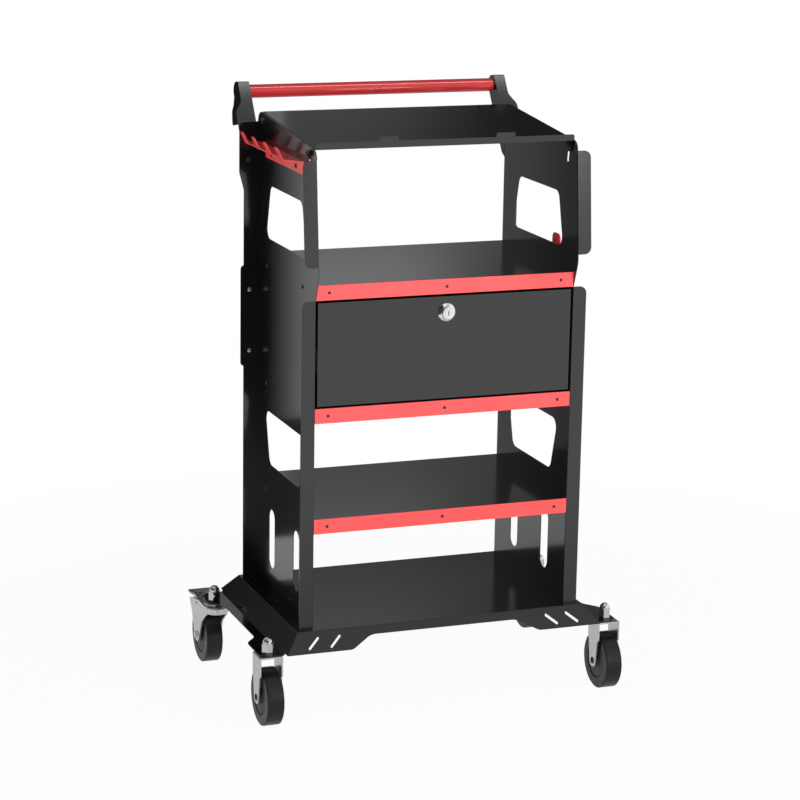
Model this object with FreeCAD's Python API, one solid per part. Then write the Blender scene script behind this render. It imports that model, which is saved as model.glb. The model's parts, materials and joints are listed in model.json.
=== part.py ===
import FreeCAD, Part
import math
import os
from FreeCAD import Vector

# Diagnostic cart in bent sheet steel. Millimetres, +Z up, front towards -Y.
# The origin is on the floor under the middle of the cart.

# Sheet and overall layout
SHEET = 1.5
BASE_SHEET = 2.0
STRAP = 2.0
PANEL_GAP = 500.0
PANEL_DEPTH = 345.0
Y_MID = -17.5
X_IN = PANEL_GAP / 2
X_OUT = X_IN + SHEET
Y_FRONT = Y_MID - PANEL_DEPTH / 2
Y_REAR = Y_MID + PANEL_DEPTH / 2
BEND = 2.0
RUNNING = 0.05
PAST = 1.0

# Deck, shelves and red trims
DECK_Z = 174.0
SHELF_TOPS = {"lower": 381.0, "middle": 588.0, "upper": 814.0}
SHELF_REAR_GAP = 1.0
TRIM_HEIGHT = 27.5
TRIM_EDGE = 1.2
TRIM_RIVET_X = 225.0
SHELF_SCREW_DROP = 15.0
SHELF_SCREW_Y = (Y_MID - 100.0, Y_MID + 112.0)

# Base: flat deck, sloping aprons at its ends, sloping side rails that widen into caster ears
DECK_HALF_X = 283.0
DECK_HALF_Y = 184.0
SKIRT_OUT = 31.0
SKIRT_DROP = 37.0
EAR_Z = DECK_Z - SKIRT_DROP
EAR_LOW = EAR_Z - BASE_SHEET
EAR_X = 356.0
EAR_ROUND = 20.0
RAIL_X = 333.0
RAIL_ROUND = 25.0
FRONT_EAR_REACH = 20.0
FRONT_EAR_LENGTH = 67.0
FRONT_TAPER_END = 95.0
REAR_EAR_LENGTH = 9.0
REAR_TAPER_END = 45.0
RAIL_REAR_Y = Y_MID + DECK_HALF_Y + 17.0
END_SKIRT_Z = 140.0
MID_SKIRT_Z = 160.0
SKIRT_STEP_X = (185.0, 145.0)
SKIRT_STEP_ROUND = (25.0, 40.0)
SKIRT_CUT_X = 306.0
SKIRT_SLOT_X = (205.5, 247.5)
SKIRT_SLOT_RUN = 19.0
SKIRT_SLOT_Z = (162.0, 147.5)
SKIRT_SLOT_WIDTH = 4.5
FOOT_SCREW_X = X_IN + 14.0
FOOT_SCREW_Y = (Y_MID - 140.0, Y_MID, Y_MID + 140.0)

# Side panels: outward flanges, windows and slots
FLANGE = 27.0
FLANGE_CORNER = 13.0
LOWER_FLANGE_TOP = 786.0
UPPER_FLANGE_LOW = 849.0
UPPER_FLANGE_LENGTH = 190.0
UPPER_FRONT_STEP = 16.3
REAR_FLANGE = 29.0
REAR_FLANGE_TOP = 1063.0
REAR_FLANGE_CORNER = 12.0
WIDE_FLANGE = 38.0
WIDE_FLANGE_Z = (934.0, 968.0)
WIDE_FLANGE_ROUND = 20.0
FOOT_FLANGE = 25.0
NECK_Z = 835.0
NECK_ROUND = 45.0
WAIST_ROUND = 20.0
TOP_FRONT_ROUND = 18.0
TOP_REAR_ROUND = 22.0
UPPER_WINDOW = {"low": 852.0, "high": 953.0, "low_half": 120.0, "high_half": 94.0}
LOWER_WINDOW = {"low": 419.0, "high": 521.0, "low_half": 92.0, "high_half": 120.0}
WINDOW_ROUND = 18.0
PANEL_SLOT_Y = 74.0
PANEL_SLOT_HALF = 17.5
PANEL_SLOT_Z = (217.0, 333.0)

# Back cover
COVER_HALF_X = X_IN + REAR_FLANGE + 5.5
COVER_Z = (594.0, 790.0)
COVER_ROUND = 8.0
COVER_SCREW_X = X_IN + 17.0
COVER_SCREW_Z = (624.5, 743.0)

# Top tray, sloping down to the front by TRAY_SLOPE degrees; points are (along, up) on its plate
TRAY_SLOPE = 5.2
TRAY_TILT = 6.5
TRAY_HALF_X = 248.6
TRAY_LENGTH = 312.0
TRAY_LIP_Y = Y_MID - 160.0
TRAY_LIP_Z = 1056.0
TRAY_LIP = 11.0
TRAY_LIP_ROUND = 4.0
TRAY_STOP = 19.0
TRAY_STOP_X = (94.0, 131.0)
TRAY_STOP_ROUND = 2.5
TRAY_WALL_START = 8.0
TRAY_WALL_FRONT = 25.0
TRAY_WALL_REAR = 32.0
TRAY_WALL_ROUND = 14.0
TRAY_WALL_REAR_ROUND = 6.0
TRAY_WALL_HEEL = 20.0
TRAY_REAR_FLANGE = 26.0
FRONT_BOLT = (25.0, -12.3)
REAR_PIVOT = (290.0, -13.0)
TRAY_BOLT_R = 3.0
TRAY_BOLT_HEAD = (6.0, 5.0)
TRAY_NUT_R = 5.5
TRAY_NUT_X = (X_OUT + 0.6, X_OUT + 6.0)
TRAY_BOLT_END = X_OUT + 7.0
TRAY_SLOT_R = 4.5

# Handle arms and tube
TUBE_R = 12.7
TUBE_WALL = 2.0
TUBE_Y = Y_MID + 243.0
TUBE_Z = 1110.5
TUBE_PLUG = 25.0
ARM_WALL = 2.0
ARM_LOW = 979.0
ARM_KNEE = 1037.0
ARM_LEAN = (62.0, 93.0)
ARM_TOP = (104.0, 90.0)
ARM_TOP_ROUND = 18.0
ARM_FRONT_ROUND = 3.0
ARM_TOE = (13.5, 7.0)
ARM_TOE_ROUND = 6.0
ARM_WIDE = 36.0
ARM_SLIM = 22.0
ARM_STEP_Z = (1078.0, 1096.0)
ARM_STEP_ROUND = 15.0
ARM_WAIST = ((99.0, 1117.0, 0), (82.0, 1094.0, 15.0), (54.0, 1081.0, 15.0), (52.5, 1062.0, 8.0),
             (50.0, 1049.0, 6.0))
ARM_WAIST_END = 1056.0
ARM_BOLT_X = X_IN + 20.0
ARM_BOLT_Z = (992.0, 1024.0)

# Hook rack on the left panel and single hook on the right panel
RACK_Z = (1003.0, 1027.0)
RACK_Y = (Y_MID - 106.0, Y_MID + 118.0)
RACK_REACH = 28.0
RACK_TAPER = 27.0
RACK_ROUND = 6.0
LEDGE_REAR_Y = Y_MID + 164.5
LEDGE_ROUND = 4.0
RACK_SCREW_Y = (Y_MID - 63.0, Y_MID + 82.0)
RACK_SCREW_Z = 1013.0
FINGERS = 4
FINGER_FIRST_Y = Y_MID - 54.0
FINGER_PITCH = 69.0
FINGER_WIDTH = 20.0
FINGER_OUT = 11.0
FINGER_UP = 22.0
FINGER_ROUND = 6.0
HOOK_Y = Y_MID - 17.5
HOOK_HALF = 18.0
HOOK_REACH = 32.0
HOOK_LOW = 796.0
HOOK_BACK_TOP = 842.0
HOOK_TIP_TOP = 859.0
HOOK_BACK_ROUND = 8.0
HOOK_TIP_ROUND = 11.0
HOOK_SCREW_Y = (HOOK_Y - 9.0, HOOK_Y + 9.0)
HOOK_SCREW_Z = 806.0

# Drawer and its telescopic slides
DRAWER_HALF_X = 246.0
DRAWER_Z = (592.0, 782.0)
DRAWER_FACE_Y = Y_FRONT + 0.5
DRAWER_BACK_Y = DRAWER_FACE_Y + SHEET
DRAWER_RETURN = 14.0
DRAWER_SHEET = 1.2
CAM_NOTCH_X = (-14.0, 36.0)
CAM_NOTCH_Y = 3.5
BOX_HALF_X = 236.6
BOX_Z = (604.0, 742.0)
BOX_BACK_Y = Y_REAR - 22.0
BOX_TAB = 14.0
BOX_SCREW_INSET = (8.0, 25.0)
SLIDE_Y = (Y_FRONT + 18.0, Y_FRONT + 318.0)
SLIDE_Z = 672.0
SLIDE_STEEL = 1.2
SLIDE_OUTER = {"web": X_IN, "lip": X_IN - 9.5, "half": 22.5, "ends": (0.0, 0.0)}
SLIDE_MIDDLE = {"web": X_IN - 1.7, "lip": X_IN - 10.5, "half": 20.5, "ends": (2.0, 4.0)}
SLIDE_INNER = {"web": BOX_HALF_X, "lip": X_IN - 4.2, "half": 18.4, "ends": (1.0, 8.0)}

# Lock in the drawer front
LOCK_Z = 752.7
LOCK_BEZEL = (17.0, 12.5, 11.0)
LOCK_BARREL_R = 9.5
LOCK_BARREL = 8.0
LOCK_NUT_FLATS = 26.0
LOCK_NUT = 4.0
LOCK_PLUG_R = 7.0
LOCK_PLUG_Y = (DRAWER_FACE_Y - 11.5, DRAWER_FACE_Y + 8.6)
KEY_SLOT_HALF = (0.9, 4.5)
KEY_SLOT_DEPTH = 6.5
CAM_STEEL = 2.5
CAM_SQUARE = 3.5
CAM_HEEL = 9.0
CAM_REACH = 38.0
CAM_TIP_HALF = 8.0
CAM_ROUND = (8.0, 5.0)

# Casters: fixed in front, swivelling with a brake at the rear
WHEEL_R = 54.0
WHEEL_HALF = 16.0
TYRE_ROUND = 3.0
HUB_R = 34.0
HUB_RIM_R = 32.4
HUB_RIM_HALF = 14.0
HUB_WEB_HALF = 15.4
HUB_WEB_R = (14.5, 31.6)
HUB_BOSS_HALF = 18.7
HUB_BOSS_R = 12.0
HUB_ROUND = (0.8, 1.5)
FRONT_CASTER = (337.0, Y_MID - 174.0)
REAR_CASTER = (342.0, Y_MID + 153.0)
TRAIL = 48.0
FORK_STEEL = 3.0
FORK_IN = 19.3
FORK_OUT = FORK_IN + FORK_STEEL
LEG_TOP_HALF = 22.5
LEG_NECK_HALF = 18.5
LEG_SHOULDER_Z = (98.0, 94.0)
LEG_SHOULDER_ROUND = 3.0
LEG_LOW_HALF = 12.0
LEG_LOW_Z = 42.0
LEG_ROUND = 12.0
AXLE_R = 5.0
AXLE_RIM = (6.8, 0.8)
AXLE_DIMPLE = (3.8, 3.0, 6.0)
AXLE_HEAD = (13.0, 4.0)
STUD_R = 6.0
STUD_TOP = EAR_Z + 16.0
STUD_END = (10.0, 4.0)
NUT_FLATS = 20.0
NUT_HEIGHT = 9.5
DOME_R = 9.6
DOME_NECK = 2.0
SWIVEL_GAP = 0.5
HEAD_HEIGHT = 5.5
HEAD_R = (20.0, 23.0)
CROWN_TOP = EAR_LOW - HEAD_HEIGHT - SWIVEL_GAP
CROWN_STEEL = 3.5
CROWN_LOW = CROWN_TOP - CROWN_STEEL
CROWN_RIM_LOW = 118.0
CROWN_Y = (-36.0, 32.0)
CROWN_ROUND = 20.0
PLATE_FRONT = (-16.0, 113.0)
PLATE_HIP = (14.0, 90.0)
PLATE_REAR_TOP = (100.0, 116.5)
PLATE_REAR_MID = (82.0, 96.0)
PLATE_ROUND = 15.0
PLATE_FRONT_ROUND = 8.0
PLATE_REAR_ROUND = 5.0
PLATE_END_ROUND = 16.0
BRAKE_PIN = (50.0, 118.0)
BRAKE_PIN_R = 3.0
BRAKE_PIN_PAST = 1.5
BRAKE_HALF_X = 17.5
BRAKE_HEEL = 7.0
BRAKE_SHOE = ((80.5, 103.0), (84.5, 104.5))
BRAKE_NECK = (86.0, 120.5)
TREAD_HALF_X = 23.0
TREAD_Y = (85.0, 108.0)
TREAD_Z = (125.0, 128.5)

# Fasteners: head radius, head height, shank radius
SCREW_SMALL = (4.0, 2.0, 2.5)
SCREW_PANEL = (4.5, 2.5, 2.5)
SCREW_FOOT = (5.0, 2.5, 3.0)
SCREW_BOX = (4.0, 2.0, 2.0)
RIVET = (3.0, 0.6, 2.0)
BOLT_TUBE = (6.5, 4.0, 4.0)
HEAD_TAPER = 0.7
SHANK_PAST = 3.0
RACK_SHANK_PAST = 0.6
TUBE_BOLT_LENGTH = 20.0

NODES = {}


# Helpers

def box(x0, x1, y0, y1, z0, z1):
    return Part.makeBox(x1 - x0, y1 - y0, z1 - z0, Vector(x0, y0, z0))


def rod(radius, start, end):
    start, end = Vector(*start), Vector(*end)
    return Part.makeCylinder(radius, (end - start).Length, start, end - start)


def fuse(*shapes):
    return shapes[0].multiFuse(list(shapes[1:])).removeSplitter()


def mirror_x(shape):
    return shape.mirror(Vector(0, 0, 0), Vector(1, 0, 0))


def both_sides(shape):
    """The left and the right copy of a shape drawn for the right side."""
    return [mirror_x(shape), shape]


def rounded_face(corners, place):
    """Face through corners (u, v, radius); place turns u and v into a point."""
    flat = [Vector(u, v, 0) for u, v, radius in corners]
    turns = []
    for i, (u, v, radius) in enumerate(corners):
        here = flat[i]
        if radius == 0:
            turns.append((here, None, here))
            continue
        back = (flat[i - 1] - here).normalize()
        ahead = (flat[(i + 1) % len(flat)] - here).normalize()
        half = back.getAngle(ahead) / 2
        reach = radius / math.tan(half)
        inward = (back + ahead).normalize()
        middle = here + inward * (radius / math.sin(half) - radius)
        turns.append((here + back * reach, middle, here + ahead * reach))
    edges = []
    for i, (start, middle, end) in enumerate(turns):
        if middle is not None:
            edges.append(Part.Arc(place(start), place(middle), place(end)).toShape())
        following = turns[(i + 1) % len(turns)][0]
        if (following - end).Length > Part.Precision.confusion():
            edges.append(Part.makeLine(place(end), place(following)))
    return Part.Face(Part.Wire(edges))


def plate_x(corners, x0, x1):
    """Plate square to X, its outline given in Y and Z."""
    return rounded_face(corners, lambda p: Vector(x0, p.x, p.y)).extrude(Vector(x1 - x0, 0, 0))


def plate_y(corners, y0, y1):
    """Plate square to Y, its outline given in X and Z."""
    return rounded_face(corners, lambda p: Vector(p.x, y0, p.y)).extrude(Vector(0, y1 - y0, 0))


def plate_z(corners, z0, z1):
    """Plate square to Z, its outline given in X and Y."""
    return rounded_face(corners, lambda p: Vector(p.x, p.y, z0)).extrude(Vector(0, 0, z1 - z0))


def rectangle(u0, u1, v0, v1, radius):
    return [(u0, v0, radius), (u1, v0, radius), (u1, v1, radius), (u0, v1, radius)]


def slot_between(a, b, half_width):
    """Corners of a round-ended slot whose end arcs are centred on a and b."""
    a, b = Vector(*a, 0), Vector(*b, 0)
    along = (b - a).normalize() * half_width
    across = Vector(-along.y, along.x, 0)
    points = [a - along - across, b + along - across, b + along + across, a - along + across]
    return [(p.x, p.y, half_width) for p in points]


def bend_cut(corner, x_way, y_way, z0, z1):
    """Rounds the outer edge of an upright bend at corner; the ways point into the sheet."""
    x, y = corner
    near = BEND * (1 - math.sqrt(0.5))
    tip = Vector(x, y, z0)
    a = Vector(x + x_way * BEND, y, z0)
    b = Vector(x, y + y_way * BEND, z0)
    middle = Vector(x + x_way * near, y + y_way * near, z0)
    wire = Part.Wire([Part.makeLine(tip, a), Part.Arc(a, middle, b).toShape(), Part.makeLine(b, tip)])
    return Part.Face(wire).extrude(Vector(0, 0, z1 - z0))


def screw(point, way, size, length):
    """Screw whose head stands on point and whose shank runs the other way."""
    head_r, head_h, shank_r = size
    point, way = Vector(*point), Vector(*way)
    head = Part.makeCone(head_r, head_r * HEAD_TAPER, head_h, point, way)
    return fuse(head, Part.makeCylinder(shank_r, length, point, way * -1))


def hexagon(flats, z0, z1):
    """Hexagonal prism about Z, measured across its flats."""
    radius = flats / math.sqrt(3)
    angles = [math.radians(60 * i) for i in range(7)]
    points = [Vector(radius * math.cos(a), radius * math.sin(a), z0) for a in angles]
    return Part.Face(Part.makePolygon(points)).extrude(Vector(0, 0, z1 - z0))


def turned(point, centre, degrees):
    """Point (y, z) turned about centre, positive from +Y towards +Z."""
    turn = math.radians(degrees)
    dy, dz = point[0] - centre[0], point[1] - centre[1]
    y = centre[0] + dy * math.cos(turn) - dz * math.sin(turn)
    z = centre[1] + dy * math.sin(turn) + dz * math.cos(turn)
    return y, z


def tray_point(along, up):
    """Y and Z of a point of the tray, given along its plate and square to it."""
    return turned((TRAY_LIP_Y + along, TRAY_LIP_Z + up), (TRAY_LIP_Y, TRAY_LIP_Z), TRAY_SLOPE)


# Base

def skirt_block(top_z, low_z, inset):
    """Block that widens downwards at the slope of the skirts, drawn in by inset."""
    wires = []
    for z in (top_z, low_z):
        out = SKIRT_OUT * (DECK_Z - z) / SKIRT_DROP - inset
        x, y = DECK_HALF_X + out, DECK_HALF_Y + out
        points = [(-x, -y), (x, -y), (x, y), (-x, y), (-x, -y)]
        wires.append(Part.makePolygon([Vector(px, Y_MID + py, z) for px, py in points]))
    return Part.makeLoft(wires, True, True)


def ear_rail():
    """Flat flange along the right skirt, widened into a caster ear at each end."""
    front, rear = FRONT_CASTER[1], REAR_CASTER[1]
    root = DECK_HALF_X + SKIRT_OUT - SHEET
    corners = [
        (root, front - FRONT_EAR_REACH, 0), (EAR_X, front - FRONT_EAR_REACH, EAR_ROUND),
        (EAR_X, front + FRONT_EAR_LENGTH, RAIL_ROUND), (RAIL_X, front + FRONT_TAPER_END, RAIL_ROUND),
        (RAIL_X, rear - REAR_TAPER_END, RAIL_ROUND), (EAR_X, rear - REAR_EAR_LENGTH, RAIL_ROUND),
        (EAR_X, RAIL_REAR_Y, EAR_ROUND), (root, RAIL_REAR_Y, 0)]
    return plate_z(corners, EAR_LOW, EAR_Z)


def end_skirt_cut(way):
    """What is cut from below an end skirt, leaving deep ends and a shallow middle."""
    (outer, inner), (outer_round, inner_round) = SKIRT_STEP_X, SKIRT_STEP_ROUND
    right = [(inner, MID_SKIRT_Z, inner_round), (outer, END_SKIRT_Z, outer_round),
             (SKIRT_CUT_X, END_SKIRT_Z, 0), (SKIRT_CUT_X, 0, 0)]
    left = [(-x, z, radius) for x, z, radius in reversed(right)]
    near, far = DECK_HALF_Y + STRAP, DECK_HALF_Y + 2 * SKIRT_OUT
    return plate_y(right + left, Y_MID + way * near, Y_MID + way * far)


def corner_cuts():
    """What is cut from below the corners of the skirts, past the ends of the rails."""
    far_x, far_y = DECK_HALF_X + 2 * SKIRT_OUT, DECK_HALF_Y + 2 * SKIRT_OUT
    ends = (Y_MID - far_y, FRONT_CASTER[1] - FRONT_EAR_REACH), (RAIL_REAR_Y, Y_MID + far_y)
    right = [box(SKIRT_CUT_X - PAST, far_x, near, far, 0, END_SKIRT_Z) for near, far in ends]
    return right + [mirror_x(cut) for cut in right]


def skirt_slots():
    """Slanted slots near the ends of the front skirt."""
    (top_z, low_z), cuts = SKIRT_SLOT_Z, []
    for x in SKIRT_SLOT_X:
        corners = slot_between((x, top_z), (x + SKIRT_SLOT_RUN, low_z), SKIRT_SLOT_WIDTH / 2)
        slot = plate_y(corners, Y_MID - DECK_HALF_Y - 2 * SKIRT_OUT, Y_MID - DECK_HALF_Y)
        cuts += both_sides(slot)
    return cuts


def skirt_ring():
    """The four sloping skirts under the edge of the deck."""
    slant = math.hypot(SKIRT_OUT, SKIRT_DROP) / SKIRT_DROP
    room = skirt_block(DECK_Z, EAR_LOW - PAST, BASE_SHEET * slant)
    ring = skirt_block(DECK_Z - BASE_SHEET, EAR_LOW, 0).cut(room)
    return ring.cut([end_skirt_cut(-1), end_skirt_cut(1)] + corner_cuts() + skirt_slots())


def side_sector():
    """Room of the right skirt, between the mitres at its ends."""
    ends = ((-1, -SKIRT_OUT), (-1, 2 * SKIRT_OUT), (1, 2 * SKIRT_OUT), (1, -SKIRT_OUT))
    corners = [(DECK_HALF_X + run, Y_MID + way * (DECK_HALF_Y + run), 0) for way, run in ends]
    return plate_z(corners, 0, DECK_Z)


def base_plate():
    return skirt_block(DECK_Z, DECK_Z - BASE_SHEET, 0)


def base_rail():
    """Right skirt with its flange and caster ears."""
    return fuse(skirt_ring().common(side_sector()), ear_rail().cut(corner_cuts()))


def base_aprons():
    """Front and rear skirt, mitred against the rails."""
    return skirt_ring().cut(both_sides(side_sector())).Solids


# Side panels, drawn for the right side

def panel_outline():
    """Side outline with the upper part stepped forward and leaning at the tray's slope."""
    lean = math.tan(math.radians(TRAY_SLOPE))
    top_z = TRAY_LIP_Z - PAST
    rear_z = top_z + (Y_REAR - TRAY_LIP_Y) * lean

    def front_y(z):
        return Y_FRONT - UPPER_FRONT_STEP + (z - UPPER_FLANGE_LOW) * lean

    return [
        (Y_FRONT, DECK_Z, 0), (Y_REAR, DECK_Z, 0), (Y_REAR, rear_z, TOP_REAR_ROUND),
        (front_y(top_z), top_z, TOP_FRONT_ROUND), (front_y(NECK_Z), NECK_Z, NECK_ROUND),
        (Y_FRONT, LOWER_FLANGE_TOP + BEND, WAIST_ROUND)]


def set_leaning(shape):
    """Sets an upright piece drawn at Y = Z = 0 on the leaning upper front edge."""
    shape.rotate(Vector(0, 0, 0), Vector(1, 0, 0), -TRAY_SLOPE)
    shape.translate(Vector(0, Y_FRONT - UPPER_FRONT_STEP, UPPER_FLANGE_LOW))
    return shape


def upper_front_flange():
    outer = X_IN + FLANGE
    corners = [(X_IN, 0, 0), (outer, 0, FLANGE_CORNER), (outer, UPPER_FLANGE_LENGTH, FLANGE_CORNER),
               (X_IN, UPPER_FLANGE_LENGTH, 0)]
    return set_leaning(plate_y(corners, 0, SHEET))


def lower_front_flange():
    outer = X_IN + FLANGE
    corners = [(X_IN, DECK_Z, 0), (outer, DECK_Z, 0), (outer, LOWER_FLANGE_TOP, FLANGE_CORNER),
               (X_IN, LOWER_FLANGE_TOP, 0)]
    return plate_y(corners, Y_FRONT, Y_FRONT + SHEET)


def rear_flange():
    """Rear flange, wider where the handle arm is bolted to it."""
    outer, wide = X_IN + REAR_FLANGE, X_IN + WIDE_FLANGE
    narrow_z, wide_z = WIDE_FLANGE_Z
    corners = [(X_IN, DECK_Z, 0), (outer, DECK_Z, 0), (outer, narrow_z, WIDE_FLANGE_ROUND),
               (wide, wide_z, WIDE_FLANGE_ROUND), (wide, REAR_FLANGE_TOP, REAR_FLANGE_CORNER),
               (X_IN, REAR_FLANGE_TOP, 0)]
    return plate_y(corners, Y_REAR - SHEET, Y_REAR)


def window(low, high, low_half, high_half):
    corners = [(Y_MID - low_half, low, WINDOW_ROUND), (Y_MID + low_half, low, WINDOW_ROUND),
               (Y_MID + high_half, high, WINDOW_ROUND), (Y_MID - high_half, high, WINDOW_ROUND)]
    return plate_x(corners, X_IN - PAST, X_OUT + PAST)


def upright_slot(y):
    low, high = PANEL_SLOT_Z
    ends = (y, low + PANEL_SLOT_HALF), (y, high - PANEL_SLOT_HALF)
    return plate_x(slot_between(*ends, PANEL_SLOT_HALF), X_IN - PAST, X_OUT + PAST)


def tray_bolt_openings():
    """Slot that the front tray bolt travels in, and the hole of the rear pivot."""
    pivot = tray_point(*REAR_PIVOT)
    raised = tray_point(*FRONT_BOLT)
    lowered = turned(raised, pivot, TRAY_TILT)
    slot = plate_x(slot_between(raised, lowered, TRAY_SLOT_R), X_IN - PAST, X_OUT + PAST)
    return [slot, rod(TRAY_BOLT_R + RUNNING, (X_IN - PAST, *pivot), (X_OUT + PAST, *pivot))]


def side_panel():
    web = plate_x(panel_outline(), X_IN, X_OUT)
    foot = box(X_IN, X_IN + FOOT_FLANGE, Y_FRONT, Y_REAR, DECK_Z, DECK_Z + SHEET)
    panel = fuse(web, foot, lower_front_flange(), upper_front_flange(), rear_flange())
    cuts = [bend_cut((X_IN, Y_FRONT), 1, 1, DECK_Z, LOWER_FLANGE_TOP),
            bend_cut((X_IN, Y_REAR), 1, -1, DECK_Z, REAR_FLANGE_TOP),
            set_leaning(bend_cut((X_IN, 0), 1, 1, 0, UPPER_FLANGE_LENGTH)),
            window(**UPPER_WINDOW), window(**LOWER_WINDOW),
            upright_slot(Y_MID - PANEL_SLOT_Y), upright_slot(Y_MID + PANEL_SLOT_Y)]
    return panel.cut(cuts + tray_bolt_openings())


def foot_screws():
    """Screws up through the deck into the panel feet."""
    points = [(FOOT_SCREW_X, y, DECK_Z - BASE_SHEET) for y in FOOT_SCREW_Y]
    screws = [screw(p, (0, 0, -1), SCREW_FOOT, BASE_SHEET + SHEET) for p in points]
    return screws + [mirror_x(s) for s in screws]


# Shelves and trims

def shelf(top_z):
    """Shelf pan with its four edges folded down."""
    front, rear, low = Y_FRONT + STRAP, Y_REAR - SHELF_REAR_GAP, top_z - TRIM_HEIGHT
    pan = box(-X_IN, X_IN, front, rear, low, top_z)
    room = box(SHEET - X_IN, X_IN - SHEET, front + SHEET, rear - SHEET, low - PAST, top_z - SHEET)
    return pan.cut(room)


def trim(top_z):
    """Red strip on the front edge of a shelf, its upper edge rounded over."""
    low, back = top_z - TRIM_HEIGHT, Y_FRONT + STRAP
    corners = [(Y_FRONT, low, 0), (back, low, 0), (back, top_z, 0), (Y_FRONT, top_z, TRIM_EDGE)]
    return plate_x(corners, -X_IN, X_IN)


def trim_rivets(top_z):
    points = [(x, Y_FRONT, top_z - TRIM_HEIGHT / 2) for x in (-TRIM_RIVET_X, 0, TRIM_RIVET_X)]
    return [screw(p, (0, -1, 0), RIVET, STRAP + SHEET + PAST) for p in points]


def shelf_screws(top_z):
    points = [(X_OUT, y, top_z - SHELF_SCREW_DROP) for y in SHELF_SCREW_Y]
    screws = [screw(p, (1, 0, 0), SCREW_SMALL, 2 * SHEET + SHANK_PAST) for p in points]
    return screws + [mirror_x(s) for s in screws]


# Back cover

def back_cover():
    low, high = COVER_Z
    corners = rectangle(-COVER_HALF_X, COVER_HALF_X, low, high, COVER_ROUND)
    return plate_y(corners, Y_REAR, Y_REAR + SHEET)


def cover_screws():
    points = [(COVER_SCREW_X, Y_REAR - SHEET, z) for z in COVER_SCREW_Z]
    screws = [screw(p, (0, -1, 0), SCREW_PANEL, 2 * SHEET + SHANK_PAST) for p in points]
    return screws + [mirror_x(s) for s in screws]


# Handle

def arm_side():
    """Side outline of a handle arm, upright on the flange and then leaning back."""
    points = [(0, 0, 0), (ARM_LEAN[0], ARM_LEAN[1], ARM_FRONT_ROUND), (ARM_TOP[0], ARM_TOP[1], ARM_TOP_ROUND)]
    upper = [(Y_REAR + y, ARM_KNEE + z, radius) for y, z, radius in points]
    return upper + [(Y_REAR + ARM_TOE[0], ARM_LOW + ARM_TOE[1], ARM_TOE_ROUND), (Y_REAR, ARM_LOW, 0)]


def arm_room_side():
    """Side outline of the space inside a handle arm, open to the rear."""
    front, far = Y_REAR + ARM_WALL, Y_REAR + 2 * ARM_TOP[0]
    top_z = ARM_KNEE + ARM_TOP[1] - ARM_WALL
    return [(front, ARM_LOW - PAST, 0), (front, ARM_KNEE, 0), (arm_wall_y(top_z), top_z, 0), (far, top_z, 0),
            (far, ARM_LOW - PAST, 0)]


def arm_wall_y(z):
    """Where the rear face of the leaning front wall stands at a height."""
    return Y_REAR + ARM_WALL + ARM_LEAN[0] * (z - ARM_KNEE) / ARM_LEAN[1]


def arm_relief():
    """What is cut from behind the outer wall, leaving its waisted rear edge and its end."""
    front, far, low = Y_REAR + ARM_WALL, Y_REAR + 2 * ARM_TOP[0], ARM_LOW - PAST
    edge = [(Y_REAR + y, z, radius) for y, z, radius in ARM_WAIST]
    end = arm_wall_y(ARM_WAIST_END), ARM_WAIST_END, 0
    around = [end, (front, ARM_KNEE, 0), (front, low, 0), (far, low, 0), (far, ARM_WAIST[0][1], 0)]
    return plate_x(edge + around, X_IN + 2 * ARM_WALL, X_IN + 2 * ARM_WIDE)


def arm_front(inset):
    """Front outline of a handle arm, with its S-shaped outer edge drawn in by inset."""
    low, high = ARM_LOW - SHANK_PAST, ARM_KNEE + ARM_TOP[0]
    inner, wide, slim = X_IN + inset, X_IN + ARM_WIDE - inset, X_IN + ARM_SLIM - inset
    wide_z, slim_z = ARM_STEP_Z
    return [(inner, low, 0), (wide, low, 0), (wide, wide_z, ARM_STEP_ROUND), (slim, slim_z, ARM_STEP_ROUND),
            (slim, high, 0), (inner, high, 0)]


def handle_arm():
    """Arm folded from sheet, open at the rear: web, front wall and S-shaped outer wall."""
    near, far = Y_REAR - PAST, Y_REAR + 2 * ARM_TOP[0]
    right = X_IN + 2 * ARM_WIDE
    body = plate_x(arm_side(), X_IN, right).common(plate_y(arm_front(0), near, far))
    room = plate_x(arm_room_side(), X_IN, right).common(plate_y(arm_front(ARM_WALL), near, far))
    return body.cut([room, arm_relief()])


def handle_tube():
    ends = (-X_IN, TUBE_Y, TUBE_Z), (X_IN, TUBE_Y, TUBE_Z)
    return rod(TUBE_R, *ends).cut(rod(TUBE_R - TUBE_WALL, *ends))


def tube_plug():
    return rod(TUBE_R - TUBE_WALL, (X_IN - TUBE_PLUG, TUBE_Y, TUBE_Z), (X_IN, TUBE_Y, TUBE_Z))


def tube_bolt():
    return screw((X_IN + ARM_WALL, TUBE_Y, TUBE_Z), (1, 0, 0), BOLT_TUBE, TUBE_BOLT_LENGTH)


def arm_bolts():
    points = [(ARM_BOLT_X, Y_REAR - SHEET, z) for z in ARM_BOLT_Z]
    bolts = [screw(p, (0, -1, 0), SCREW_FOOT, SHEET + ARM_WALL + SHANK_PAST) for p in points]
    return bolts + [mirror_x(b) for b in bolts]


# Hook rack and single hook, drawn for the right side

def finger(y):
    """One finger of the rack, leaning out and up from the ledge."""
    length = math.hypot(FINGER_OUT, FINGER_UP)
    out, up = FINGER_OUT / length, FINGER_UP / length
    root_x, root_z = X_OUT + RACK_REACH - STRAP, RACK_Z[1] - STRAP

    def place(p):
        return Vector(root_x + p.y * out, p.x, root_z + p.y * up)

    y0, y1 = y - FINGER_WIDTH / 2, y + FINGER_WIDTH / 2
    corners = [(y0, 0, 0), (y1, 0, 0), (y1, length, FINGER_ROUND), (y0, length, FINGER_ROUND)]
    return rounded_face(corners, place).extrude(Vector(up, 0, -out) * STRAP)


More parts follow.
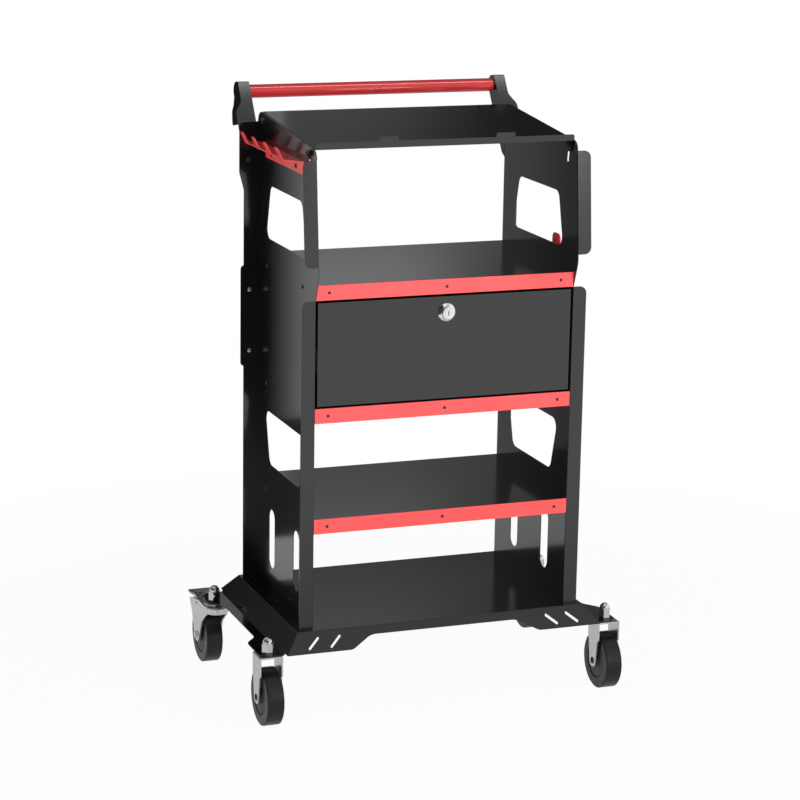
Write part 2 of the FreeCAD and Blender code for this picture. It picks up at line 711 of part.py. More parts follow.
def hook_rack():
    (low, high), (front, rear) = RACK_Z, RACK_Y
    plate = plate_x([(front, low, RACK_ROUND), (rear, low, RACK_ROUND), (rear, high, 0), (front, high, 0)],
                    X_OUT, X_OUT + STRAP)
    edge = X_OUT + RACK_REACH
    ledge = plate_z([(X_OUT, front, 0), (edge, front + RACK_TAPER, LEDGE_ROUND),
                     (edge, LEDGE_REAR_Y, LEDGE_ROUND), (X_OUT, LEDGE_REAR_Y, 0)], high - STRAP, high)
    fingers = [finger(FINGER_FIRST_Y + FINGER_PITCH * i) for i in range(FINGERS)]
    return fuse(plate, ledge, *fingers)


def strap_screws(points, past):
    length = STRAP + SHEET + past
    return [screw((X_OUT + STRAP, y, z), (1, 0, 0), SCREW_PANEL, length) for y, z in points]


def cable_hook():
    """Hook bent from one strap: back plate, ledge and upright tip."""
    y0, y1 = HOOK_Y - HOOK_HALF, HOOK_Y + HOOK_HALF
    edge = X_OUT + HOOK_REACH
    back = plate_x([(y0, HOOK_LOW, 0), (y1, HOOK_LOW, 0), (y1, HOOK_BACK_TOP, HOOK_BACK_ROUND),
                    (y0, HOOK_BACK_TOP, HOOK_BACK_ROUND)], X_OUT, X_OUT + STRAP)
    tip = plate_x([(y0, HOOK_LOW, 0), (y1, HOOK_LOW, 0), (y1, HOOK_TIP_TOP, HOOK_TIP_ROUND),
                   (y0, HOOK_TIP_TOP, HOOK_TIP_ROUND)], edge - STRAP, edge)
    return fuse(back, tip, box(X_OUT, edge, y0, y1, HOOK_LOW, HOOK_LOW + STRAP))


# Top tray, made flat with its lip at the origin and then set at its slope

def set_on_slope(shape):
    shape.rotate(Vector(0, 0, 0), Vector(1, 0, 0), TRAY_SLOPE)
    shape.translate(Vector(0, TRAY_LIP_Y, TRAY_LIP_Z))
    return shape


def tray_lip():
    """Front lip with two taller stops."""
    inner, outer = TRAY_STOP_X
    right = [(inner, TRAY_LIP, 0), (inner, TRAY_STOP, TRAY_STOP_ROUND), (outer, TRAY_STOP, TRAY_STOP_ROUND),
             (outer, TRAY_LIP, 0), (TRAY_HALF_X, TRAY_LIP, TRAY_LIP_ROUND), (TRAY_HALF_X, -SHEET, 0)]
    left = [(-x, z, radius) for x, z, radius in reversed(right)]
    return plate_y(right + left, 0, SHEET)


def tray_wall():
    """Right side wall, rounded about the front bolt and deeper at the rear."""
    start, end = TRAY_WALL_START, TRAY_LENGTH
    corners = [(start, 0, 0), (start, -TRAY_WALL_FRONT, TRAY_WALL_ROUND),
               (end - TRAY_WALL_HEEL, -TRAY_WALL_REAR, TRAY_WALL_ROUND),
               (end, -TRAY_WALL_REAR, TRAY_WALL_REAR_ROUND), (end, 0, 0)]
    return plate_x(corners, TRAY_HALF_X - SHEET, TRAY_HALF_X)


def top_tray():
    half = TRAY_HALF_X
    plate = box(-half, half, 0, TRAY_LENGTH, -SHEET, 0)
    rear = box(-half, half, TRAY_LENGTH - SHEET, TRAY_LENGTH, -TRAY_REAR_FLANGE, 0)
    return set_on_slope(fuse(plate, rear, tray_lip(), *both_sides(tray_wall())))


def tray_bolt(place):
    """Bolt with a round head inside the tray wall and a nut outside the panel."""
    y, z = tray_point(*place)
    inner = TRAY_HALF_X - SHEET
    head_r, head_h = TRAY_BOLT_HEAD
    head = rod(head_r, (inner - head_h, y, z), (inner, y, z))
    shank = rod(TRAY_BOLT_R, (inner, y, z), (TRAY_BOLT_END, y, z))
    nut = rod(TRAY_NUT_R, (TRAY_NUT_X[0], y, z), (TRAY_NUT_X[1], y, z))
    return fuse(head, shank, nut)


# Drawer

def drawer_front():
    """Pan-shaped front with a notch in its upper return for the lock cam."""
    (low, high), half = DRAWER_Z, DRAWER_HALF_X
    rear = DRAWER_FACE_Y + DRAWER_RETURN
    pan = box(-half, half, DRAWER_FACE_Y, rear, low, high)
    room = box(SHEET - half, half - SHEET, DRAWER_BACK_Y, rear + PAST, low + SHEET, high - SHEET)
    notch = box(*CAM_NOTCH_X, DRAWER_FACE_Y + CAM_NOTCH_Y, rear + PAST, high - SHEET, high + PAST)
    return pan.cut([room, notch])


def drawer_box():
    """Open tray folded from sheet, with a tab at each side for the drawer front."""
    (low, high), half, t = BOX_Z, BOX_HALF_X, DRAWER_SHEET
    front, rear = DRAWER_BACK_Y, BOX_BACK_Y
    block = box(-half, half, front, rear, low, high)
    room = box(t - half, half - t, front - PAST, rear - t, low + t, high + PAST)
    tab = box(half - BOX_TAB, half, front, front + t, low, high)
    return fuse(block.cut(room), *both_sides(tab))


def drawer_screws():
    """Short screws that hold the tabs of the box to the drawer front."""
    inset, end = BOX_SCREW_INSET
    points = [(BOX_HALF_X - inset, DRAWER_BACK_Y + DRAWER_SHEET, z) for z in (BOX_Z[0] + end, BOX_Z[1] - end)]
    screws = [screw(p, (0, 1, 0), SCREW_BOX, DRAWER_SHEET + SHEET / 2) for p in points]
    return screws + [mirror_x(s) for s in screws]


def slide_member(web, lip, half, ends):
    """Channel of a slide: an upright web at one side and a lip along each edge."""
    low, high, t = SLIDE_Z - half, SLIDE_Z + half, SLIDE_STEEL
    inner = web + math.copysign(t, lip - web)
    corners = [(web, low), (lip, low), (lip, low + t), (inner, low + t), (inner, high - t), (lip, high - t),
               (lip, high), (web, high)]
    return plate_y([(x, z, 0) for x, z in corners], SLIDE_Y[0] + ends[0], SLIDE_Y[1] - ends[1])


# Lock

def lock_barrel():
    return rod(LOCK_BARREL_R, (0, DRAWER_FACE_Y, LOCK_Z), (0, DRAWER_FACE_Y + LOCK_BARREL, LOCK_Z))


def lock_housing():
    """Tapered bezel in front of the drawer, barrel behind it and a bore for the plug."""
    root_r, face_r, height = LOCK_BEZEL
    bezel = Part.makeCone(root_r, face_r, height, Vector(0, DRAWER_FACE_Y, LOCK_Z), Vector(0, -1, 0))
    bore = rod(LOCK_PLUG_R + RUNNING, (0, DRAWER_FACE_Y - 2 * height, LOCK_Z), (0, 0, LOCK_Z))
    return fuse(bezel, lock_barrel()).cut(bore)


def lock_nut():
    nut = hexagon(LOCK_NUT_FLATS, 0, LOCK_NUT)
    nut.rotate(Vector(0, 0, 0), Vector(1, 0, 0), -90)
    nut.translate(Vector(0, DRAWER_BACK_Y, LOCK_Z))
    return nut.cut(lock_barrel())


def lock_plug():
    """Turning plug with a key slot in its face and a square tail for the cam."""
    front, rear = LOCK_PLUG_Y
    (slot_x, slot_z), tail = KEY_SLOT_HALF, CAM_SQUARE
    plug = rod(LOCK_PLUG_R, (0, front, LOCK_Z), (0, rear, LOCK_Z))
    square = box(-tail, tail, rear, rear + CAM_STEEL, LOCK_Z - tail, LOCK_Z + tail)
    slot = box(-slot_x, slot_x, front - PAST, front + KEY_SLOT_DEPTH, LOCK_Z - slot_z, LOCK_Z + slot_z)
    return fuse(plug, square).cut(slot)


def lock_cam():
    """Cam lying open, to the right of the lock."""
    (heel_round, tip_round), rear = CAM_ROUND, LOCK_PLUG_Y[1]
    corners = [(-CAM_HEEL, LOCK_Z - CAM_HEEL, heel_round), (CAM_REACH, LOCK_Z - CAM_TIP_HALF, tip_round),
               (CAM_REACH, LOCK_Z + CAM_TIP_HALF, tip_round), (-CAM_HEEL, LOCK_Z + CAM_HEEL, heel_round)]
    return plate_y(corners, rear, rear + CAM_STEEL).cut(lock_plug())


# Casters, drawn about X = 0 with their stud at Y = 0

def at_caster(shape, side, place):
    moved = shape.copy()
    moved.translate(Vector(side * place[0], place[1], 0))
    return moved


def stud(end_z):
    """Stud through the ear, with a round end whose upper face is at end_z."""
    end_r, end_h = STUD_END
    end = rod(end_r, (0, 0, end_z - end_h), (0, 0, end_z))
    return fuse(end, rod(STUD_R, (0, 0, end_z), (0, 0, STUD_TOP)))


def stud_nuts():
    """Plain nut and dome nut on the stud above the ear."""
    seat = EAR_Z + NUT_HEIGHT
    crest = seat + NUT_HEIGHT
    bore = rod(STUD_R, (0, 0, EAR_Z - PAST), (0, 0, STUD_TOP))
    plain = hexagon(NUT_FLATS, EAR_Z, seat)
    neck = rod(DOME_R, (0, 0, crest), (0, 0, crest + DOME_NECK))
    dome = Part.makeSphere(DOME_R, Vector(0, 0, crest + DOME_NECK), Vector(0, 0, 1), 0, 90)
    return [plain.cut(bore), fuse(hexagon(NUT_FLATS, seat, crest), neck, dome).cut(bore)]


def axle_rod(y):
    return rod(AXLE_R, (-FORK_OUT, y, WHEEL_R), (FORK_OUT, y, WHEEL_R))


def front_axle():
    """Axle with a thin rolled rim and a dimple at each end."""
    rim_r, rim_h = AXLE_RIM
    end = FORK_OUT + rim_h
    rims = both_sides(rod(rim_r, (FORK_OUT, 0, WHEEL_R), (end, 0, WHEEL_R)))
    dimple = Part.makeCone(*AXLE_DIMPLE, Vector(end, 0, WHEEL_R), Vector(-1, 0, 0))
    return fuse(axle_rod(0), *rims).cut(both_sides(dimple))


def rear_axle():
    """Axle bolt with a six-sided head at each end."""
    flats, height = AXLE_HEAD
    head = hexagon(flats, FORK_OUT, FORK_OUT + height)
    head.rotate(Vector(0, 0, 0), Vector(0, 1, 0), 90)
    head.translate(Vector(0, TRAIL, WHEEL_R))
    return fuse(axle_rod(TRAIL), *both_sides(head))


def turned_piece(half_profile, y):
    """Piece turned about the wheel axis, mirrored from the right half of its profile."""
    left = [(-x, radius, corner) for x, radius, corner in reversed(half_profile)]
    face = rounded_face(half_profile + left, lambda p: Vector(p.x, y, WHEEL_R + p.y))
    return face.revolve(Vector(0, y, WHEEL_R), Vector(1, 0, 0), 360)


def tyre(y):
    return turned_piece([(WHEEL_HALF, HUB_R, 0), (WHEEL_HALF, WHEEL_R, TYRE_ROUND)], y)


def hub(y):
    """Hub with a boss on each side, a flat web, a groove at its rim and a bore that runs on the axle."""
    (edge, hollow), (web_in, web_out) = HUB_ROUND, HUB_WEB_R
    return turned_piece([
        (HUB_BOSS_HALF, AXLE_R + RUNNING, 0), (HUB_BOSS_HALF, HUB_BOSS_R, edge),
        (HUB_WEB_HALF, web_in, hollow), (HUB_WEB_HALF, web_out, edge), (HUB_RIM_HALF, HUB_RIM_R, 0), (HUB_RIM_HALF, HUB_R, 0)], y)


def front_fork():
    """Fixed fork: a strap bent over the wheel, its legs stepped in and tapering to the axle."""
    shoulder, neck = LEG_SHOULDER_Z
    side = [(LEG_TOP_HALF, EAR_LOW, 0), (LEG_TOP_HALF, shoulder, LEG_SHOULDER_ROUND),
            (LEG_NECK_HALF, neck, LEG_SHOULDER_ROUND), (LEG_LOW_HALF, LEG_LOW_Z, LEG_ROUND)]
    mirrored = [(-y, z, radius) for y, z, radius in reversed(side)]
    strap = plate_x(side + mirrored, -FORK_OUT, FORK_OUT)
    return strap.cut(box(-FORK_IN, FORK_IN, -WHEEL_R, WHEEL_R, 0, EAR_LOW - FORK_STEEL))


def swivel_head():
    """Round head plate under the ear that the fork turns below."""
    low = CROWN_TOP + SWIVEL_GAP
    head = Part.makeCone(*HEAD_R, HEAD_HEIGHT, Vector(0, 0, low), Vector(0, 0, 1))
    return head.cut(rod(STUD_R, (0, 0, low - PAST), (0, 0, EAR_LOW + PAST)))


def rear_fork():
    """Swivel fork: round-nosed crown under the head and two trailing side plates."""
    (front, rear), round_in = CROWN_Y, CROWN_ROUND - FORK_STEEL
    side = [
        (PLATE_FRONT[0], CROWN_TOP, 0), (rear, CROWN_TOP, PLATE_ROUND), (*PLATE_REAR_TOP, PLATE_REAR_ROUND),
        (*PLATE_REAR_MID, PLATE_ROUND), (TRAIL + LEG_LOW_HALF, LEG_LOW_Z, PLATE_END_ROUND),
        (TRAIL - LEG_LOW_HALF, LEG_LOW_Z, PLATE_END_ROUND), (*PLATE_HIP, PLATE_ROUND),
        (*PLATE_FRONT, PLATE_FRONT_ROUND)]
    plates = both_sides(plate_x(side, FORK_IN, FORK_OUT))
    crown = plate_z([(-FORK_OUT, front, CROWN_ROUND), (FORK_OUT, front, CROWN_ROUND), (FORK_OUT, rear, 0),
                     (-FORK_OUT, rear, 0)], CROWN_RIM_LOW, CROWN_TOP)
    room = plate_z([(-FORK_IN, front + FORK_STEEL, round_in), (FORK_IN, front + FORK_STEEL, round_in),
                    (FORK_IN, rear + PAST, 0), (-FORK_IN, rear + PAST, 0)], CROWN_RIM_LOW - PAST, CROWN_LOW)
    king_hole = rod(STUD_R + RUNNING, (0, 0, CROWN_LOW - PAST), (0, 0, CROWN_TOP + PAST))
    return fuse(crown.cut(room), *plates).cut(king_hole)


def brake_pin(radius):
    end = FORK_OUT + BRAKE_PIN_PAST
    return rod(radius, (-end, *BRAKE_PIN), (end, *BRAKE_PIN))


def brake_pedal():
    """Pedal that turns on the brake pin, with a shoe above the tyre and a wide tread."""
    (y, z), (front, rear), (low, high) = BRAKE_PIN, TREAD_Y, TREAD_Z
    arm = plate_x([
        (y - BRAKE_HEEL, z - BRAKE_HEEL, BRAKE_PIN_R), (y + BRAKE_HEEL, z - BRAKE_HEEL, 0),
        (*BRAKE_SHOE[0], 0), (*BRAKE_SHOE[1], 0), (*BRAKE_NECK, BRAKE_PIN_R), (rear, low, 0), (rear, high, 0),
        (front, high, LEG_ROUND), (y - BRAKE_HEEL, z + BRAKE_HEEL, BRAKE_PIN_R)], -BRAKE_HALF_X, BRAKE_HALF_X)
    tread = plate_z(rectangle(-TREAD_HALF_X, TREAD_HALF_X, front, rear, BRAKE_PIN_R), low, high)
    return fuse(arm, tread).cut(brake_pin(BRAKE_PIN_R + RUNNING))


# Assembly: fasteners are made first and cut out of the sheets that they hold

def add(name, shape):
    NODES[name] = shape


def add_group(name, solids):
    NODES[name] = Part.makeCompound(solids)


def add_pair(name, shape, cuts=()):
    """A left and a right node of one shape drawn for the right side."""
    for side, half in zip(("left", "right"), both_sides(shape)):
        add("%s_%s" % (name, side), half.cut(list(cuts)) if cuts else half)


def build_structure():
    side_screws = sum([shelf_screws(z) for z in SHELF_TOPS.values()], [])
    rivets = sum([trim_rivets(z) for z in SHELF_TOPS.values()], [])
    feet, covers, arms = foot_screws(), cover_screws(), arm_bolts()
    tube_bolts = both_sides(tube_bolt())
    rack_screws = strap_screws([(y, RACK_SCREW_Z) for y in RACK_SCREW_Y], RACK_SHANK_PAST)
    rack_screws = [mirror_x(s) for s in rack_screws]
    hook_screws = strap_screws([(y, HOOK_SCREW_Z) for y in HOOK_SCREW_Y], SHANK_PAST)
    studs = []
    for side in (-1, 1):
        studs.append(at_caster(stud(EAR_LOW - FORK_STEEL), side, FRONT_CASTER))
        studs.append(at_caster(stud(CROWN_LOW - SWIVEL_GAP), side, REAR_CASTER))

    add("base_plate", base_plate().cut(feet))
    add_pair("base_rail", base_rail(), studs)
    add_group("base_aprons", base_aprons())
    add_pair("side_panel", side_panel(), side_screws + feet + covers + arms + rack_screws + hook_screws)
    for level, top_z in SHELF_TOPS.items():
        add(level + "_shelf", shelf(top_z).cut(side_screws + rivets + hook_screws))
        add(level + "_trim", trim(top_z).cut(rivets))
    add("back_cover", back_cover().cut(covers))
    add_pair("handle_arm", handle_arm(), arms + tube_bolts)
    add("handle_tube", handle_tube())
    add_group("tube_plugs", [plug.cut(tube_bolts) for plug in both_sides(tube_plug())])
    add("hook_rack_left", mirror_x(hook_rack()).cut(rack_screws))
    add("cable_hook_right", cable_hook().cut(hook_screws))
    add_group("shelf_screws", side_screws)
    add_group("trim_rivets", rivets)
    add_group("cover_screws", covers)
    add_group("handle_bolts", arms + tube_bolts)
    add_group("hook_screws", rack_screws + hook_screws)
    add_group("foot_screws", feet)
    add_group("caster_studs", studs)


def build_tray():
    bolts = both_sides(tray_bolt(FRONT_BOLT)) + both_sides(tray_bolt(REAR_PIVOT))
    add("top_tray", top_tray().cut(bolts))
    add_group("tray_bolts", bolts)


def build_drawer():
    screws = drawer_screws()
    add("drawer_front", drawer_front().cut(screws + [lock_barrel()]))
    add("drawer_box", drawer_box().cut(screws))
    add_group("drawer_screws", screws)
    add("lock_housing", lock_housing())
    add("lock_nut", lock_nut())
    add("lock_plug", lock_plug())
    add("lock_cam", lock_cam())
    add_pair("slide_outer", slide_member(**SLIDE_OUTER))
    add_pair("slide_middle", slide_member(**SLIDE_MIDDLE))
    add_pair("slide_inner", slide_member(**SLIDE_INNER))


def build_casters():
    nuts, front_axles, heads = [], [], []
    pin = brake_pin(BRAKE_PIN_R)
    front = {"fork": front_fork().cut([axle_rod(0), stud(EAR_LOW - FORK_STEEL)]), "tyre": tyre(0),
             "hub": hub(0)}
    rear = {"fork": rear_fork().cut([axle_rod(TRAIL), pin]), "pins": Part.makeCompound([rear_axle(), pin]),
            "tyre": tyre(TRAIL), "hub": hub(TRAIL), "brake_pedal": brake_pedal()}
    for side, name in ((-1, "left"), (1, "right")):
        for place in (FRONT_CASTER, REAR_CASTER):
            nuts += [at_caster(nut, side, place) for nut in stud_nuts()]
        front_axles.append(at_caster(front_axle(), side, FRONT_CASTER))
        heads.append(at_caster(swivel_head(), side, REAR_CASTER))
        for piece, shape in front.items():
            add("front_%s_%s" % (piece, name), at_caster(shape, side, FRONT_CASTER))
        for piece, shape in rear.items():
            add("rear_%s_%s" % (piece, name), at_caster(shape, side, REAR_CASTER))
    add_group("stud_nuts", nuts)
    add_group("front_axles", front_axles)
    add_group("swivel_heads", heads)


def main():
    os.makedirs("parts", exist_ok=True)
    build_structure()
    build_tray()
    build_drawer()
    build_casters()
    for name, shape in NODES.items():
        shape.exportStep("parts/%s.step" % name)
        state = "" if shape.isValid() else "  not valid"
        print("%-22s solids %2d  volume %10.0f%s" % (name, len(shape.Solids), shape.Volume, state))
    print(len(NODES), "nodes")


main()
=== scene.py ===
import json
import math

import bmesh
import bpy
from mathutils import Matrix, Vector


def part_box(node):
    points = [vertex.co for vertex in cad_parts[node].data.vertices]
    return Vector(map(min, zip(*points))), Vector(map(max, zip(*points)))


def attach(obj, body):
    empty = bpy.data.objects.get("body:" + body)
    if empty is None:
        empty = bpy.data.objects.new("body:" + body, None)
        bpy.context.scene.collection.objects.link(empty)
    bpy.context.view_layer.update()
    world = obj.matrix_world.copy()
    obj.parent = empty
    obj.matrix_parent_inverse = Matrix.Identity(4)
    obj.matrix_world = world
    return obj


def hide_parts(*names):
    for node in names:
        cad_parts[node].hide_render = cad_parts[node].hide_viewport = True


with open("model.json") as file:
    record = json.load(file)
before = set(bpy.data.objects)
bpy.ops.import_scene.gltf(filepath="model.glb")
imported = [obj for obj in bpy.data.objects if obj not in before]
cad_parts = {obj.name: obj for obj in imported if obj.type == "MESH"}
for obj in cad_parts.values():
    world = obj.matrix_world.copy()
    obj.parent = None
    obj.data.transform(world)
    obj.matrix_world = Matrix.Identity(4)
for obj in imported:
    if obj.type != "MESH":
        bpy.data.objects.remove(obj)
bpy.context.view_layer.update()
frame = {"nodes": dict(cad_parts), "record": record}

bl_info = {
    "name": "Diagnostic Cart",
    "version": (1, 0, 0),
    "blender": (4, 5, 0),
    "location": "View3D > Sidebar > Cart",
    "description": "Dresses the packed solids of a rolling diagnostic cart",
    "category": "Object",
}

MM = 0.001

# Edges sharper than this stay sharp in the shading and are rounded by the bevels
SHARP = math.radians(31.0)
# Segments of the bevels on folds and on cut edges
FOLD_STEPS, EDGE_STEPS = 4, 2
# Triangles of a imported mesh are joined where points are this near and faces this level
MERGE = 0.01 * MM
COPLANAR = math.radians(0.5)
# Points of a turned mesh are joined where they are this near
LATHE_MERGE = 0.005 * MM

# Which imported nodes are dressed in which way
SIDES = ("left", "right")
SHEET_NODES = (
    "base_plate", "base_rail_left", "base_rail_right", "base_aprons", "side_panel_left", "side_panel_right",
    "lower_shelf", "middle_shelf", "upper_shelf", "back_cover", "handle_arm_left", "handle_arm_right",
    "top_tray", "drawer_front", "drawer_box")
FOLDED_NODES = ("side_panel_left", "side_panel_right", "top_tray", "handle_arm_left", "handle_arm_right")
RED_NODES = ("lower_trim", "middle_trim", "upper_trim", "hook_rack_left", "cable_hook_right")
SLIDE_NODES = tuple(
    "slide_%s_%s" % (member, side) for member in ("outer", "middle", "inner") for side in SIDES)

# A fold is a long edge between two broad faces: least length, angle and area of the lesser face
FOLD_LENGTH = 30.0 * MM
FOLD_ANGLE = math.radians(80.0)
FOLD_AREA = 0.003
# How near to a fork's top and sides the edges of its bends are
BEND_REACH = 0.1 * MM

# Fasteners: the way their heads face, then in millimetres the radius and height of the head
# and the radius of the socket and of the shank
FASTENERS = {
    "shelf_screws": ("out", 4.0, 2.0, 1.5, 2.5), "cover_screws": ("front", 4.5, 2.5, 1.7, 2.5),
    "hook_screws": ("out", 4.5, 2.5, 1.7, 2.5), "foot_screws": ("down", 5.0, 2.5, 1.8, 3.0),
    "trim_rivets": ("front", 3.0, 0.6, 0.9, 2.0), "drawer_screws": ("rear", 4.0, 2.0, 1.5, 2.0)}
HANDLE_BOLTS = {"out": (6.5, 4.0, 2.4, 4.0), "front": (5.0, 2.5, 1.8, 3.0)}
# Bolts of the handle tube are longer than this, those of the arms shorter
TUBE_BOLT_LENGTH = 20.0 * MM
WAYS = {"front": (0, -1, 0), "rear": (0, 1, 0), "down": (0, 0, -1)}

# Turned profiles in millimetres: along the axis, radius, corner. Wheels give the right half only
HUB_HALF = (
    (18.7, 5.05, 0), (18.7, 12.0, 0.8), (15.4, 14.5, 1.5), (15.4, 31.6, 0.6), (14.0, 32.6, 0.4),
    (14.0, 34.0, 0))
TYRE_HALF = ((16.0, 34.0, 0.5), (16.0, 51.6, 0.9), (14.6, 53.6, 1.0))
LOCK_BEZEL = (
    (-11.0, 7.05, 0.4), (-11.0, 10.8, 0.5), (-3.5, 11.4, 0.4), (-1.2, 16.5, 0.5), (0.0, 17.0, 0.3),
    (0.0, 9.5, 0), (8.0, 9.5, 0.3), (8.0, 7.05, 0))
# Wall of the handle tube, and the radii on the edges of tube, slides and lock
TUBE_WALL = 2.0 * MM
TUBE_EDGE = 0.6 * MM
SLIDE_EDGE = 0.25 * MM
LOCK_EDGE = 0.4 * MM

# The part of a noise's range that it mostly keeps to
NOISE_LOW, NOISE_HIGH = 0.3, 0.7
OXIDE_BLACK = (0.035, 0.035, 0.037)
PLASTIC_BLACK = (0.020, 0.020, 0.021)

# Room: the way in which its light dims, and where on that way the fade starts and ends
ROOM_AWAY = (0, 1, 0.5)
ROOM_FADE = (-1.0, 0.35)
# Floor: its grey, and its brightness to the camera and in mirrors at the middle, with the part
# of its radius at which it starts to fade into the white room. The dimmer middle in mirrors is a
# painted shadow of the cart
FLOOR_GREY = 0.80
FLOOR_SEEN = (0.96, 0.55)
FLOOR_MIRRORED_SHADOW = (0.60, 0.35)
FLOOR_RIM = 0.98
FLOOR_STEPS = 96

# Flats across the view: name, y, span in x, span in z, axis of the stops, stops of (place, glow)
UPRIGHT_FLATS = (
    ("rear_low", 3.0, (-4.0, 3.6), (0.0, 1.08), "X",
     ((-4.0, 0.03), (-1.2, 0.05), (0.9, 0.10), (1.5, 0.06), (3.6, 0.05))),
    ("rear_middle", 3.0, (-4.0, 3.6), (1.08, 1.38), "X",
     ((-4.0, 0.03), (-1.2, 0.05), (0.9, 0.24), (1.5, 0.18), (3.6, 0.08))),
    ("rear_high", 3.0, (-4.0, 3.6), (1.38, 1.85), "X",
     ((-4.0, 0.03), (0.0, 0.1), (0.7, 0.50), (1.05, 0.48), (1.5, 0.11), (3.6, 0.03))),
    ("rear_top", 3.0, (-4.0, 3.6), (1.85, 3.4), "X",
     ((-4.0, 0.03), (0.0, 0.10), (0.9, 0.13), (1.6, 0.02), (3.6, 0.01))),
    ("front", -3.4, (-0.3, 3.0), (0.9, 2.0), "Z", ((0.9, 0.9), (1.2, 0.45), (2.0, 0.45))),
    ("front_left", -3.4, (-3.0, -0.3), (0.0, 3.4), "X", ((-3.0, 0.06), (-0.6, 0.015), (-0.3, 0.1))),
    ("card_right", 1.1, (-0.6, 0.12), (0.0, 1.8), "X",
     ((-0.6, 0.05), (-0.32, 0.12), (-0.2, 0.29), (-0.12, 0.32), (0.12, 0.4))),
    ("card_left", 0.4, (-1.1, -0.27), (0.42, 1.5), "X",
     ((-1.1, 0.8), (-0.46, 0.7), (-0.43, 0.58), (-0.395, 0.26), (-0.365, 0.03), (-0.27, 0.01))),
    ("card_low", 0.4, (-1.1, -0.27), (0.17, 0.42), "X", ((-1.1, 0.4), (-0.6, 0.10), (-0.27, 0.03))),
    ("strip_low", -3.3, (0.95, 1.58), (1.0, 1.36), "Z", ((1.0, 3.0), (1.18, 12.0), (1.36, 3.0))))
# Flats overhead or on the floor: name, z, span in x, span in y, axis of the stops, stops
LEVEL_FLATS = (
    ("strip_high", 1.5, (-0.3, 0.6), (-0.01, 0.12), "Y", ((-0.01, 2.5), (0.06, 9.0), (0.12, 2.5))),
    ("floor_left", 0.01, (-4.0, -0.75), (-4.5, -0.9), "X", ((-4.0, 0.06), (-0.75, 0.04))),
    ("top", 3.4, (-4.0, 3.6), (-3.4, 3.0), "Y",
     ((-3.4, 0.65), (-0.8, 0.62), (-0.2, 0.5), (0.3, 0.35), (1.3, 0.15), (3.0, 0.03))))
# Flats along the side: name, x, span in y, span in z, axis of the stops, stops
SIDE_FLATS = (("left", -2.0, (-3.4, 3.0), (0.0, 3.4), "Z", ((0.0, 0.25), (0.5, 0.12), (3.4, 0.06))),)

# Softboxes: name, place, width in metres, power in watts; and the point at which they aim
LAMPS = (("key", (1.3, -3.1, 2.1), 1.3, 26.0), ("fill", (-2.8, -2.6, 2.4), 2.2, 10.0))
LAMP_AIM = (0, 0, 0.6)
# Camera: width of the sensor in millimetres, and how far it sees in metres
SENSOR = 36.0
VIEW_REACH = 50.0


# Sizes and colours that a user would change

class CartFinish(bpy.types.PropertyGroup):
    """Colours and edge sizes of the cart's finishes."""

    black: bpy.props.FloatVectorProperty(
        name="Black coat", description="Powder coat of the sheet metal", subtype="COLOR", size=3,
        default=(0.0040, 0.0040, 0.0042), min=0, max=1)
    red: bpy.props.FloatVectorProperty(
        name="Red coat", description="Powder coat of the trims and hooks", subtype="COLOR", size=3,
        default=(0.86, 0.074, 0.074), min=0, max=1)
    tube_red: bpy.props.FloatVectorProperty(
        name="Tube red", description="Gloss paint of the handle tube", subtype="COLOR", size=3,
        default=(0.52, 0.026, 0.029), min=0, max=1)
    zinc: bpy.props.FloatVectorProperty(
        name="Zinc", description="Plating of the forks and slides", subtype="COLOR", size=3,
        default=(0.68, 0.69, 0.70), min=0, max=1)
    chrome: bpy.props.FloatVectorProperty(
        name="Chrome", description="Plating of the lock and dome nuts", subtype="COLOR", size=3,
        default=(0.82, 0.82, 0.83), min=0, max=1)
    rubber: bpy.props.FloatVectorProperty(
        name="Rubber", description="Tread of the wheels", subtype="COLOR", size=3,
        default=(0.006, 0.006, 0.0064), min=0, max=1)
    sheet_fold: bpy.props.FloatProperty(
        name="Sheet fold", description="Outer radius of folds in sheet", unit="LENGTH", default=2.8 * MM)
    sheet_edge: bpy.props.FloatProperty(
        name="Sheet edge", description="Radius on the cut edges of sheet", unit="LENGTH", default=0.45 * MM)
    forged_edge: bpy.props.FloatProperty(
        name="Forged edge", description="Radius on caster steel", unit="LENGTH", default=0.8 * MM)


class CartStage(bpy.types.PropertyGroup):
    """Camera, floor and studio light."""

    eye: bpy.props.FloatVectorProperty(
        name="Camera", description="Place of the camera", unit="LENGTH", size=3,
        default=(-1.72257, -4.54145, 1.71872))
    yaw: bpy.props.FloatProperty(
        name="Yaw", description="Turn of the view towards +X", unit="ROTATION",
        default=math.radians(20.596))
    pitch: bpy.props.FloatProperty(
        name="Pitch", description="Tilt of the view below level", unit="ROTATION",
        default=math.radians(13.596))
    roll: bpy.props.FloatProperty(
        name="Roll", description="Lean of the view", unit="ROTATION",
        default=math.radians(0.979))
    lens: bpy.props.FloatProperty(
        name="Lens", description="Focal length in millimetres on a 36 mm sensor", default=118.42)
    floor_radius: bpy.props.FloatProperty(
        name="Floor", description="Radius of the pale floor", unit="LENGTH", default=1.7)
    front_light: bpy.props.FloatProperty(
        name="Front light", description="Brightness of the room in front of the cart", default=2.2)
    rear_light: bpy.props.FloatProperty(
        name="Rear light", description="Brightness of the room behind the cart", default=0.12)


class CartDetail(bpy.types.PropertyGroup):
    """Sizes of the small details."""

    fork_bend: bpy.props.FloatProperty(
        name="Fork bend", description="Radius of the bends at the top of the front forks", unit="LENGTH",
        default=3.4 * MM)
    lathe_steps: bpy.props.IntProperty(
        name="Turning steps", description="Faces round a turned piece", default=96, min=12)


def settings():
    scene = bpy.context.scene
    return scene.cart_finish, scene.cart_stage, scene.cart_detail


# Materials: each reads Object coordinates, so it stays put on every piece

